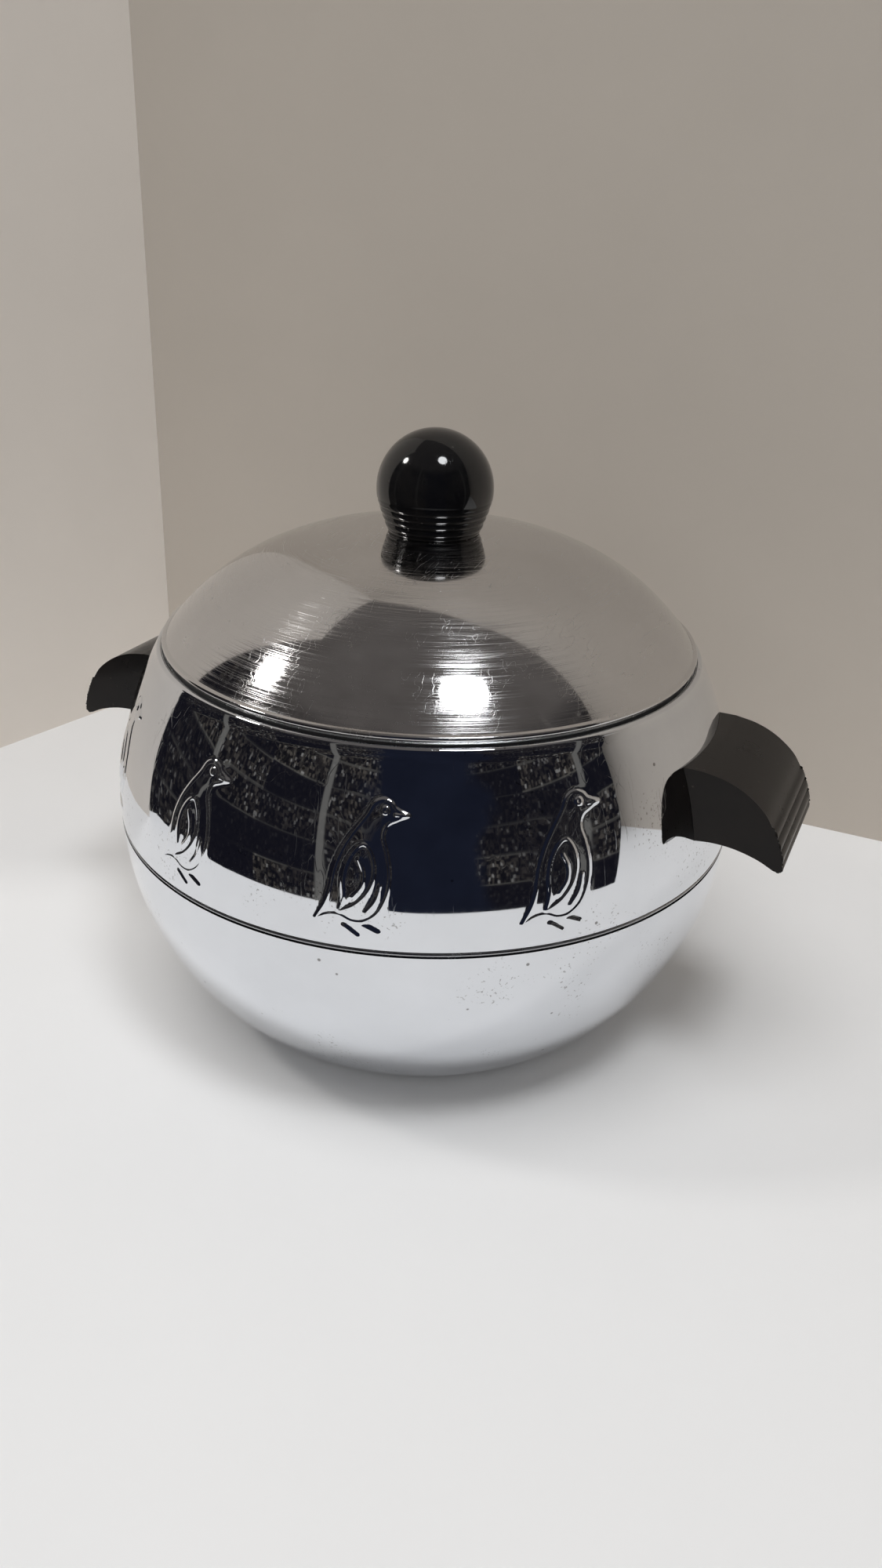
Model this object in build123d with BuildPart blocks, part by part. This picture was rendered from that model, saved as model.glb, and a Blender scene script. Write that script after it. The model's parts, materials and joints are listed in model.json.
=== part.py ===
"""Double-walled chromed ice bucket with two side handles and a lift-off domed lid.

Millimetres, +Z up. The origin is the centre of the foot ring, on the surface that the bucket stands on.
The handles lie along X. The bucket is a spun lower shell and a drawn upper shell that meet on a grooved
seam band, with a metal liner, insulation between the walls, and handles and a knob screwed on from inside.
"""
from build123d import *
import os
from math import asin, cos, pi, sin, sqrt

os.makedirs("parts", exist_ok=True)

# ---------------------------------------------------------------- driving sizes
BODY_RADIUS = 101.5          # outside radius at the middle seam
SEAM_HEIGHT = 72.5           # height of the middle seam
BOWL_ARC = 88.0              # profile radius of the lower shell
SHOULDER_ARC = 109.0         # profile radius of the upper shell
SHELL_WALL = 1.0
SHELL_EDGE = 0.3             # rounding of the shells' cut edges

BAND_HALF_HEIGHT = 0.55      # visible rib of the seam band
BAND_GROOVE = 0.45           # groove above and below that rib
RIB_ROUNDING = 0.275
BAND_FLANGE_HALF_HEIGHT = 6.0
BAND_FLANGE_RADIUS = 100.2   # fits behind both shells
BAND_FLANGE_WALL = 1.2

FOOT_OUTER_RADIUS = 61.0
FOOT_INNER_RADIUS = 50.0
BASE_RECESS = 2.2            # the middle of the base is pressed up by this
RECESS_SLOPE = 3.0            # width of the slope from the foot ring up to the recess
BASE_CORNER_HEIGHT = 1.2
BASE_CORNER_RISE = 0.3       # height of the middle of the corner's arc

BEAD_RADIUS = 1.2            # rolled rim of the upper shell
BEAD_HEIGHT = 126.5          # height of that bead's centre
RIM_FLANGE_TOP = 127.0
RIM_FLANGE_WALL = 1.0
MOUTH_RADIUS = 80.0          # hole in the upper shell's inward flange

SEAL_THICKNESS = 0.8
SEAL_INNER_RADIUS = 80.4
SEAL_OUTER_RADIUS = 84.0

LINER_WALL = 0.8
LINER_MOUTH_RADIUS = 78.4    # inside
LINER_LOW_RADIUS = 75.0      # inside, where the wall meets the rounded bottom
LINER_LOW_HEIGHT = 42.0
LINER_FLOOR_RADIUS = 46.0
LINER_FLOOR_HEIGHT = 13.0    # inside face of the liner's floor
LINER_FLANGE_RADIUS = 84.2

INSULATION_GAP = 0.4
UPPER_INSULATION_RADIUS = 88.5
UPPER_INSULATION_TOP = 123.0
INSULATION_FOOT = 4.0        # height of the lower insulation's underside
SUPPORT_PAD_RADIUS = 34.0

LID_HEIGHT = 163.0           # top of the dome
LID_WALL = 0.9
CROWN_ARC = 215.0            # profile radius of the middle of the dome
CROWN_RADIUS = 34.0          # where the crown passes into the lid's shoulder
LID_SHOULDER_ARC = 78.3
LID_EDGE_RADIUS = 84.2       # where the dome meets its hem
HEM_RADIUS = 0.9             # rolled hem round the dome's edge
HEM_CENTRE_RADIUS = 84.4
LID_LIP_INNER_RADIUS = 82.0
LID_LIP_WALL = 0.7
PAN_WALL = 0.7
PAN_FLANGE_RADIUS = 82.8
PLUG_RADIUS = 77.4
PLUG_DEPTH = 10.0
PLUG_CORNER = 4.0
LID_PAD_EDGE = 80.0          # radius of the lid insulation's edge
LID_PAD_GAP = 1.0            # between the lid insulation and the dome
SCREW_POCKET_RADIUS = 12.0
SCREW_POCKET_DEPTH = 14.0

KNOB_RADIUS = 18.1
KNOB_CENTRE_HEIGHT = 175.8
KNOB_STEP_DROP = 2.6         # the step below the ball's middle
KNOB_STEP = 0.4
KNOB_NECK_RADII = (17.5, 17.0, 16.2, 15.3, 14.6)
KNOB_RING_HEIGHT = 2.3
KNOB_RING_BULGE = 0.3
KNOB_ARC_MIDDLE = 0.6        # angle of the middle point of the ball's arc, radians
KNOB_FOOT_CURVE = (14.1, 1.0)    # radius, and drop below the neck, of the middle of the rounded bottom edge
KNOB_FOOT_DROP = 1.6
KNOB_BASE_RADIUS = 12.9
KNOB_SCREW_RADIUS = 2.5
KNOB_SCREW_REACH = 12.0      # length of screw above the dome
KNOB_INSERT_RADIUS = 4.5
KNOB_INSERT_GAP = 0.4        # the insert starts this far above the dome
KNOB_SCREW_SPARE = 1.0       # the insert goes this far past the screw's end
KNOB_TRIM = 2.0              # the blank goes this far below the dome's top, and is cut back to the dome

HANDLE_WIDTH = 46.2
HANDLE_EDGE = 0.5            # rounding of the handle's long edges
HANDLE_TOP_HEIGHT = 111.4
# side outline of the right handle, (distance from the axis, height), from the root over the top and back
HANDLE_CREST = ((97.0, 111.2), (104.0, 109.9), (110.4, 107.1), (116.2, 102.6), (119.9, 97.6))
HANDLE_STEPS = ((119.9, 97.6), (121.2, 94.2), (122.5, 90.8), (123.5, 87.4))
HANDLE_CHIN = ((124.3, 85.6), (123.7, 84.3), (122.2, 84.2))
HANDLE_UNDERSIDE = ((116.5, 86.9), (109.5, 88.7), (103.0, 89.1), (97.0, 88.5))
STEP_BULGE = 0.3             # each rib stands out by this
HANDLE_TANGENTS = ((1, -0.03), (-1, -0.12))
HANDLE_ROOT_RADIUS = 86.0    # the blank starts here and is cut back to the shell
SEAT_GAP = 0.05
HANDLE_SCREW_HEIGHT = 99.5
HANDLE_SCREW_SPACING = 26.0
HANDLE_SCREW_RADIUS = 2.0
HANDLE_INSERT_RADIUS = 3.4
HANDLE_INSERT_START = 99.2
HANDLE_INSERT_LENGTH = 9.0
SCREW_CLEARANCE = 0.1
SCREW_SPARE = 1.0            # each handle screw stops this far short of its insert's end
SADDLE_HALF_WIDTH = 20.0
SADDLE_HALF_HEIGHT = 7.0
SADDLE_FACE = 93.2           # flat inner face of the saddle that backs the shell
WASHER_THICKNESS = 0.8
WASHER_RADIUS = 4.4
HEAD_THICKNESS = 2.2
HEAD_RADIUS = 3.6
SLOT_WIDTH = 0.9
SLOT_DEPTH = 1.0
FLAT_WASHER_THICKNESS = 1.0
FLAT_WASHER_RADIUS = 7.0
FLAT_WASHER_GAP = 0.15       # clears the dome's curve
LOCK_WASHER_RADIUS = 4.6
LOCK_WASHER_GAP = 0.8
KNOB_HEAD_RADIUS = 4.6
KNOB_HEAD_THICKNESS = 3.0

# ---------------------------------------------------------------- derived sizes
SEAL_TOP = RIM_FLANGE_TOP + SEAL_THICKNESS
LID_SEAT_HEIGHT = SEAL_TOP + LINER_WALL
HEM_CENTRE_HEIGHT = LID_SEAT_HEIGHT + HEM_RADIUS
PAN_SEAT_HEIGHT = LID_SEAT_HEIGHT + LID_LIP_WALL
PLUG_BOTTOM = LID_SEAT_HEIGHT - PLUG_DEPTH
CROWN_ANGLE = asin(CROWN_RADIUS / CROWN_ARC)
LOWER_SHELL_TOP = SEAM_HEIGHT - BAND_HALF_HEIGHT - BAND_GROOVE
UPPER_SHELL_BOTTOM = SEAM_HEIGHT + BAND_HALF_HEIGHT + BAND_GROOVE


def bowl_radius(height, inset=0.0):
    """Radius of the lower shell's surface at a height, moved in by inset."""
    drop = SEAM_HEIGHT - height
    return BODY_RADIUS - BOWL_ARC + sqrt((BOWL_ARC - inset) ** 2 - drop ** 2)


def shoulder_radius(height, inset=0.0):
    """Radius of the upper shell's surface at a height, moved in by inset."""
    rise = height - SEAM_HEIGHT
    return BODY_RADIUS - SHOULDER_ARC + sqrt((SHOULDER_ARC - inset) ** 2 - rise ** 2)


def dome_point(radius, inset=0.0):
    """Profile point of the lid's dome that lies at this radius on its outer face, moved in by inset."""
    if radius <= CROWN_RADIUS:
        tilt = asin(radius / CROWN_ARC)
        height = LID_HEIGHT - CROWN_ARC * (1 - cos(tilt))
    else:
        tilt = asin(sin(CROWN_ANGLE) + (radius - CROWN_RADIUS) / LID_SHOULDER_ARC)
        junction = LID_HEIGHT - CROWN_ARC * (1 - cos(CROWN_ANGLE))
        height = junction - LID_SHOULDER_ARC * (cos(CROWN_ANGLE) - cos(tilt))
    return (radius - inset * sin(tilt), height - inset * cos(tilt))


def arc_points(surface, start, end, inset=0.0):
    """Start, middle and end points of a wall's arc between two heights."""
    middle = (start + end) / 2
    return [(surface(height, inset), height) for height in (start, middle, end)]


def side_plane(side):
    """Upright plane through the handle on one side, with its x pointing outwards."""
    return Plane(origin=(0, 0, 0), x_dir=(side, 0, 0), z_dir=(0, -side, 0))


def screw_plane(side, reach):
    """Plane across one side's two screws, its normal pointing outwards."""
    return Plane(origin=(side * reach, 0, HANDLE_SCREW_HEIGHT), x_dir=(0, 1, 0), z_dir=(side, 0, 0))


# ================================================================ bucket
# ---------------------------------------------------------------- lower shell
CORNER_OUT = bowl_radius(BASE_CORNER_HEIGHT)
CORNER_IN = bowl_radius(BASE_CORNER_HEIGHT + SHELL_WALL, SHELL_WALL)
with BuildPart() as lower_shell:
    with BuildSketch(Plane.XZ):
        with BuildLine():
            wall_out = ThreePointArc(*arc_points(bowl_radius, LOWER_SHELL_TOP, BASE_CORNER_HEIGHT))
            corner_middle = ((CORNER_OUT + FOOT_OUTER_RADIUS) / 2, BASE_CORNER_RISE)
            ThreePointArc(wall_out @ 1, corner_middle, (FOOT_OUTER_RADIUS, 0))
            foot_end = (FOOT_INNER_RADIUS - RECESS_SLOPE, BASE_RECESS)
            Polyline((FOOT_OUTER_RADIUS, 0), (FOOT_INNER_RADIUS, 0), foot_end, (0, BASE_RECESS))
            inner_start = (FOOT_OUTER_RADIUS, SHELL_WALL)
            Polyline(
                (0, BASE_RECESS),
                (0, BASE_RECESS + SHELL_WALL),
                (foot_end[0], BASE_RECESS + SHELL_WALL),
                (FOOT_INNER_RADIUS, SHELL_WALL),
                inner_start,
            )
            wall_in = ThreePointArc(
                *arc_points(bowl_radius, BASE_CORNER_HEIGHT + SHELL_WALL, LOWER_SHELL_TOP, SHELL_WALL)
            )
            inner_middle = ((CORNER_IN + FOOT_OUTER_RADIUS) / 2, SHELL_WALL + BASE_CORNER_RISE)
            ThreePointArc(inner_start, inner_middle, wall_in @ 0)
            Line(wall_in @ 1, wall_out @ 0)
        make_face()
    revolve(axis=Axis.Z)
    fillet(lower_shell.edges().filter_by(GeomType.CIRCLE).sort_by(Axis.Z)[-2:], SHELL_EDGE)
lower_shell.part.label = "lower_shell"
export_step(lower_shell.part, "parts/lower_shell.step")

# ---------------------------------------------------------------- upper shell
with BuildPart() as upper_shell:
    with BuildSketch(Plane.XZ):
        with BuildLine():
            wall_out = ThreePointArc(*arc_points(shoulder_radius, UPPER_SHELL_BOTTOM, BEAD_HEIGHT))
            wall_in = ThreePointArc(
                *arc_points(shoulder_radius, BEAD_HEIGHT, UPPER_SHELL_BOTTOM, SHELL_WALL)
            )
            Line(wall_out @ 1, wall_in @ 0)
            Line(wall_in @ 1, wall_out @ 0)
        make_face()
        bead_centre = shoulder_radius(BEAD_HEIGHT) - BEAD_RADIUS
        with Locations((bead_centre, BEAD_HEIGHT)):
            Circle(BEAD_RADIUS)
        flange_width = bead_centre - MOUTH_RADIUS
        with Locations((MOUTH_RADIUS + flange_width / 2, RIM_FLANGE_TOP - RIM_FLANGE_WALL / 2)):
            Rectangle(flange_width, RIM_FLANGE_WALL)
    revolve(axis=Axis.Z)
    for side in (-1, 1):
        with BuildSketch(screw_plane(side, SADDLE_FACE)):
            with GridLocations(HANDLE_SCREW_SPACING, 0, 2, 1):
                Circle(HANDLE_SCREW_RADIUS + SCREW_CLEARANCE)
        extrude(amount=HANDLE_INSERT_START - SADDLE_FACE, mode=Mode.SUBTRACT)
upper_shell.part.label = "upper_shell"
export_step(upper_shell.part, "parts/upper_shell.step")

# ---------------------------------------------------------------- seam band, a T in section
with BuildPart() as seam_band:
    with BuildSketch(Plane.XZ):
        flange_inside = BAND_FLANGE_RADIUS - BAND_FLANGE_WALL
        with Locations(((flange_inside + BAND_FLANGE_RADIUS) / 2, SEAM_HEIGHT)):
            Rectangle(BAND_FLANGE_WALL, 2 * BAND_FLANGE_HALF_HEIGHT)
        rib_width = BODY_RADIUS - flange_inside
        with Locations((flange_inside + rib_width / 2, SEAM_HEIGHT)):
            Rectangle(rib_width, 2 * BAND_HALF_HEIGHT)
    revolve(axis=Axis.Z)
    fillet(seam_band.edges().filter_by(GeomType.CIRCLE).sort_by(SortBy.RADIUS)[-2:], RIB_ROUNDING)
seam_band.part.label = "seam_band"
export_step(seam_band.part, "parts/seam_band.step")

# ---------------------------------------------------------------- liner seal
with BuildPart() as liner_seal:
    with BuildSketch(Plane.XY.offset(RIM_FLANGE_TOP)):
        Circle(SEAL_OUTER_RADIUS)
        Circle(SEAL_INNER_RADIUS, mode=Mode.SUBTRACT)
    extrude(amount=SEAL_THICKNESS)
liner_seal.part.label = "liner_seal"
export_step(liner_seal.part, "parts/liner_seal.step")


# ---------------------------------------------------------------- inner liner
def liner_corner(inset):
    """Start, middle and end of the liner's rounded bottom corner, moved outwards by inset."""
    wall = (LINER_LOW_RADIUS + inset, LINER_LOW_HEIGHT)
    floor = (LINER_FLOOR_RADIUS, LINER_FLOOR_HEIGHT - inset)
    middle = (
        LINER_FLOOR_RADIUS + (wall[0] - LINER_FLOOR_RADIUS) * sin(pi / 4),
        LINER_LOW_HEIGHT - (LINER_LOW_HEIGHT - floor[1]) * cos(pi / 4),
    )
    return wall, middle, floor


with BuildPart() as inner_liner:
    with BuildSketch(Plane.XZ):
        with BuildLine():
            wall, middle, floor = liner_corner(0)
            Line((LINER_MOUTH_RADIUS, LID_SEAT_HEIGHT), wall)
            ThreePointArc(wall, middle, floor)
            out_wall, out_middle, out_floor = liner_corner(LINER_WALL)
            Polyline(floor, (0, LINER_FLOOR_HEIGHT), (0, LINER_FLOOR_HEIGHT - LINER_WALL), out_floor)
            ThreePointArc(out_floor, out_middle, out_wall)
            Polyline(
                out_wall,
                (LINER_MOUTH_RADIUS + LINER_WALL, SEAL_TOP),
                (LINER_FLANGE_RADIUS, SEAL_TOP),
                (LINER_FLANGE_RADIUS, LID_SEAT_HEIGHT),
                (LINER_MOUTH_RADIUS, LID_SEAT_HEIGHT),
            )
        make_face()
    revolve(axis=Axis.Z)
inner_liner.part.label = "inner_liner"
export_step(inner_liner.part, "parts/inner_liner.step")

# ---------------------------------------------------------------- liner support pad
PAD_BOTTOM = BASE_RECESS + SHELL_WALL
PAD_TOP = LINER_FLOOR_HEIGHT - LINER_WALL
with BuildPart() as support_pad:
    with BuildSketch(Plane.XY.offset(PAD_BOTTOM)):
        Circle(SUPPORT_PAD_RADIUS)
    extrude(amount=PAD_TOP - PAD_BOTTOM)
support_pad.part.label = "support_pad"
export_step(support_pad.part, "parts/support_pad.step")

# ---------------------------------------------------------------- lower insulation, a padded bowl
LOW_INSET = SHELL_WALL + INSULATION_GAP
INSULATION_SPLIT = SEAM_HEIGHT - BAND_FLANGE_HALF_HEIGHT - INSULATION_GAP
with BuildPart() as lower_insulation:
    with BuildSketch(Plane.XZ):
        with BuildLine():
            outer = ThreePointArc(*arc_points(bowl_radius, INSULATION_SPLIT, INSULATION_FOOT, LOW_INSET))
            wall, middle, floor = liner_corner(LINER_WALL + INSULATION_GAP)
            slope = (LINER_MOUTH_RADIUS - LINER_LOW_RADIUS) / (LID_SEAT_HEIGHT - LINER_LOW_HEIGHT)
            top_radius = wall[0] + slope * (INSULATION_SPLIT - LINER_LOW_HEIGHT)
            pad_side = SUPPORT_PAD_RADIUS + INSULATION_GAP
            Polyline(outer @ 1, (pad_side, INSULATION_FOOT), (pad_side, floor[1]), floor)
            ThreePointArc(floor, middle, wall)
            Polyline(wall, (top_radius, INSULATION_SPLIT), outer @ 0)
        make_face()
    revolve(axis=Axis.Z)
lower_insulation.part.label = "lower_insulation"
export_step(lower_insulation.part, "parts/lower_insulation.step")

# ---------------------------------------------------------------- upper insulation, a wrapped collar
with BuildPart() as upper_insulation:
    with BuildSketch(Plane.XZ):
        with BuildLine():
            inset = LINER_WALL + INSULATION_GAP
            start_radius = LINER_LOW_RADIUS + inset + slope * (INSULATION_SPLIT - LINER_LOW_HEIGHT)
            end_radius = LINER_LOW_RADIUS + inset + slope * (UPPER_INSULATION_TOP - LINER_LOW_HEIGHT)
            Polyline(
                (start_radius, INSULATION_SPLIT),
                (UPPER_INSULATION_RADIUS, INSULATION_SPLIT),
                (UPPER_INSULATION_RADIUS, HANDLE_SCREW_HEIGHT + SADDLE_HALF_HEIGHT),
                (shoulder_radius(UPPER_INSULATION_TOP, LOW_INSET) - INSULATION_GAP, UPPER_INSULATION_TOP),
                (end_radius, UPPER_INSULATION_TOP),
                close=True,
            )
        make_face()
    revolve(axis=Axis.Z)
upper_insulation.part.label = "upper_insulation"
export_step(upper_insulation.part, "parts/upper_insulation.step")

# ================================================================ handles and their fastenings

for side, name in ((-1, "left"), (1, "right")):
    with BuildPart() as handle:
        with BuildSketch(side_plane(side)):
            with BuildLine():
                outline = list(HANDLE_CREST)
                for high, low in zip(HANDLE_STEPS[:-1], HANDLE_STEPS[1:]):
                    bulge = ((low[0] + high[0]) / 2 + STEP_BULGE, (low[1] + high[1]) / 2 + STEP_BULGE / 2)
                    outline += [bulge, low]
                outline += [*HANDLE_CHIN, *HANDLE_UNDERSIDE]
                Line((HANDLE_ROOT_RADIUS, HANDLE_TOP_HEIGHT), HANDLE_CREST[0])
                Spline(*outline, tangents=HANDLE_TANGENTS)
                Polyline(
                    HANDLE_UNDERSIDE[-1],
                    (HANDLE_ROOT_RADIUS, HANDLE_UNDERSIDE[-1][1]),
                    (HANDLE_ROOT_RADIUS, HANDLE_TOP_HEIGHT),
                )
            make_face()
        extrude(amount=HANDLE_WIDTH / 2, both=True)
        end_faces = handle.faces().sort_by(Axis.Y)
        for end_face in (end_faces[0], end_faces[-1]):
            fillet(end_face.edges().filter_by(GeomType.BSPLINE), HANDLE_EDGE)
        with BuildSketch(Plane.XZ):
            with BuildLine():
                seat = ThreePointArc(
                    *arc_points(shoulder_radius, UPPER_SHELL_BOTTOM, BEAD_HEIGHT, -SEAT_GAP)
                )
                Polyline(seat @ 1, (0, BEAD_HEIGHT), (0, UPPER_SHELL_BOTTOM), seat @ 0)
            make_face()
        revolve(axis=Axis.Z, mode=Mode.SUBTRACT)
        with BuildSketch(screw_plane(side, HANDLE_ROOT_RADIUS)):
            with GridLocations(HANDLE_SCREW_SPACING, 0, 2, 1):
                Circle(HANDLE_INSERT_RADIUS)
        insert_end = HANDLE_INSERT_START + HANDLE_INSERT_LENGTH
        extrude(amount=insert_end - HANDLE_ROOT_RADIUS, mode=Mode.SUBTRACT)
    handle.part.label = "handle_" + name
    export_step(handle.part, "parts/handle_" + name + ".step")

    with BuildPart() as inserts:
        with BuildSketch(screw_plane(side, HANDLE_INSERT_START)):
            with GridLocations(HANDLE_SCREW_SPACING, 0, 2, 1):
                Circle(HANDLE_INSERT_RADIUS)
                Circle(HANDLE_SCREW_RADIUS, mode=Mode.SUBTRACT)
        extrude(amount=HANDLE_INSERT_LENGTH)
    inserts.part.label = "handle_inserts_" + name
    export_step(inserts.part, "parts/handle_inserts_" + name + ".step")

    with BuildPart() as saddle:
        saddle_depth = BODY_RADIUS - SADDLE_FACE
        with BuildSketch(screw_plane(side, SADDLE_FACE)):
            Rectangle(2 * SADDLE_HALF_WIDTH, 2 * SADDLE_HALF_HEIGHT)
            with GridLocations(HANDLE_SCREW_SPACING, 0, 2, 1):
                Circle(HANDLE_SCREW_RADIUS + SCREW_CLEARANCE, mode=Mode.SUBTRACT)
        extrude(amount=saddle_depth)
        with BuildSketch(Plane.XZ):
            with BuildLine():
                seat = ThreePointArc(
                    *arc_points(shoulder_radius, UPPER_SHELL_BOTTOM, BEAD_HEIGHT, SHELL_WALL + SEAT_GAP)
                )
                Polyline(seat @ 1, (0, BEAD_HEIGHT), (0, UPPER_SHELL_BOTTOM), seat @ 0)
            make_face()
        revolve(axis=Axis.Z, mode=Mode.INTERSECT)
    saddle.part.label = "handle_saddle_" + name
    export_step(saddle.part, "parts/handle_saddle_" + name + ".step")

    with BuildPart() as washers:
        with BuildSketch(screw_plane(side, SADDLE_FACE - WASHER_THICKNESS)):
            with GridLocations(HANDLE_SCREW_SPACING, 0, 2, 1):
                Circle(WASHER_RADIUS)
                Circle(HANDLE_SCREW_RADIUS + SCREW_CLEARANCE, mode=Mode.SUBTRACT)
        extrude(amount=WASHER_THICKNESS)
    washers.part.label = "handle_washers_" + name
    export_step(washers.part, "parts/handle_washers_" + name + ".step")

    with BuildPart() as screws:
        head_start = SADDLE_FACE - WASHER_THICKNESS - HEAD_THICKNESS
        shank_end = insert_end - SCREW_SPARE
        with BuildSketch(screw_plane(side, head_start)):
            with GridLocations(HANDLE_SCREW_SPACING, 0, 2, 1):
                Circle(HEAD_RADIUS)
        extrude(amount=HEAD_THICKNESS)
        with BuildSketch(screw_plane(side, head_start + HEAD_THICKNESS)):
            with GridLocations(HANDLE_SCREW_SPACING, 0, 2, 1):
                Circle(HANDLE_SCREW_RADIUS)
        extrude(amount=shank_end - head_start - HEAD_THICKNESS)
        with BuildSketch(screw_plane(side, head_start)):
            with GridLocations(HANDLE_SCREW_SPACING, 0, 2, 1):
                Rectangle(SLOT_WIDTH, 2 * HEAD_RADIUS)
        extrude(amount=SLOT_DEPTH, mode=Mode.SUBTRACT)
    screws.part.label = "handle_screws_" + name
    export_step(screws.part, "parts/handle_screws_" + name + ".step")

# ================================================================ lid
DOME_RADII = (0.0, CROWN_RADIUS / 2, CROWN_RADIUS)
DOME_SHOULDER_RADII = (CROWN_RADIUS, (CROWN_RADIUS + LID_EDGE_RADIUS) / 2, LID_EDGE_RADIUS)
SCREW_HOLE_RADIUS = KNOB_SCREW_RADIUS + SCREW_CLEARANCE

# ---------------------------------------------------------------- lid shell
with BuildPart() as lid_shell:
    with BuildSketch(Plane.XZ):
        with BuildLine():
            crown = ThreePointArc(*[dome_point(radius) for radius in DOME_RADII])
            shoulder = ThreePointArc(*[dome_point(radius) for radius in DOME_SHOULDER_RADII])
            crown_in = ThreePointArc(*[dome_point(radius, LID_WALL) for radius in DOME_RADII])
            shoulder_in = ThreePointArc(*[dome_point(radius, LID_WALL) for radius in DOME_SHOULDER_RADII])
            Line(crown @ 0, crown_in @ 0)
            Line(shoulder @ 1, shoulder_in @ 1)
        make_face()
        with Locations((HEM_CENTRE_RADIUS, HEM_CENTRE_HEIGHT)):
            Circle(HEM_RADIUS)
        lip_width = HEM_CENTRE_RADIUS - LID_LIP_INNER_RADIUS
        with Locations((LID_LIP_INNER_RADIUS + lip_width / 2, LID_SEAT_HEIGHT + LID_LIP_WALL / 2)):
            Rectangle(lip_width, LID_LIP_WALL)
    revolve(axis=Axis.Z)
    with BuildSketch(Plane.XY.offset(LID_SEAT_HEIGHT)):
        Circle(SCREW_HOLE_RADIUS)
    extrude(amount=LID_HEIGHT - LID_SEAT_HEIGHT, mode=Mode.SUBTRACT)
lid_shell.part.label = "lid_shell"
export_step(lid_shell.part, "parts/lid_shell.step")

# ---------------------------------------------------------------- lid pan, the plug that sits in the mouth
with BuildPart() as lid_pan:
    with BuildSketch(Plane.XZ):
        with BuildLine():
            flange_top = PAN_SEAT_HEIGHT + PAN_WALL
            FilletPolyline(
                (PLUG_RADIUS - PAN_WALL, flange_top),
                (PLUG_RADIUS - PAN_WALL, PLUG_BOTTOM + PAN_WALL),
                (0, PLUG_BOTTOM + PAN_WALL),
                radius=PLUG_CORNER - PAN_WALL,
            )
            Line((0, PLUG_BOTTOM + PAN_WALL), (0, PLUG_BOTTOM))
            FilletPolyline(
                (0, PLUG_BOTTOM), (PLUG_RADIUS, PLUG_BOTTOM), (PLUG_RADIUS, PAN_SEAT_HEIGHT), radius=PLUG_CORNER
            )
            Polyline(
                (PLUG_RADIUS, PAN_SEAT_HEIGHT),
                (PAN_FLANGE_RADIUS, PAN_SEAT_HEIGHT),
                (PAN_FLANGE_RADIUS, flange_top),
                (PLUG_RADIUS - PAN_WALL, flange_top),
            )
        make_face()
    revolve(axis=Axis.Z)
lid_pan.part.label = "lid_pan"
export_step(lid_pan.part, "parts/lid_pan.step")

# ---------------------------------------------------------------- lid insulation
LID_PAD_INSET = LID_WALL + LID_PAD_GAP
with BuildPart() as lid_insulation:
    with BuildSketch(Plane.XZ):
        with BuildLine():
            pad_crown = ThreePointArc(*[dome_point(radius, LID_PAD_INSET) for radius in DOME_RADII])
            pad_radii = (CROWN_RADIUS, (CROWN_RADIUS + LID_PAD_EDGE) / 2, LID_PAD_EDGE)
            pad_shoulder = ThreePointArc(*[dome_point(radius, LID_PAD_INSET) for radius in pad_radii])
            pad_bottom = PLUG_BOTTOM + PAN_WALL
            plug_inside = PLUG_RADIUS - PLUG_CORNER
            Polyline(
                pad_shoulder @ 1,
                (plug_inside, flange_top),
                (plug_inside, pad_bottom),
                (0, pad_bottom),
                pad_crown @ 0,
            )
        make_face()
    revolve(axis=Axis.Z)
    with BuildSketch(Plane.XY.offset(LID_HEIGHT - SCREW_POCKET_DEPTH)):
        Circle(SCREW_POCKET_RADIUS)
    extrude(amount=SCREW_POCKET_DEPTH, mode=Mode.SUBTRACT)
lid_insulation.part.label = "lid_insulation"
export_step(lid_insulation.part, "parts/lid_insulation.step")

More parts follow.
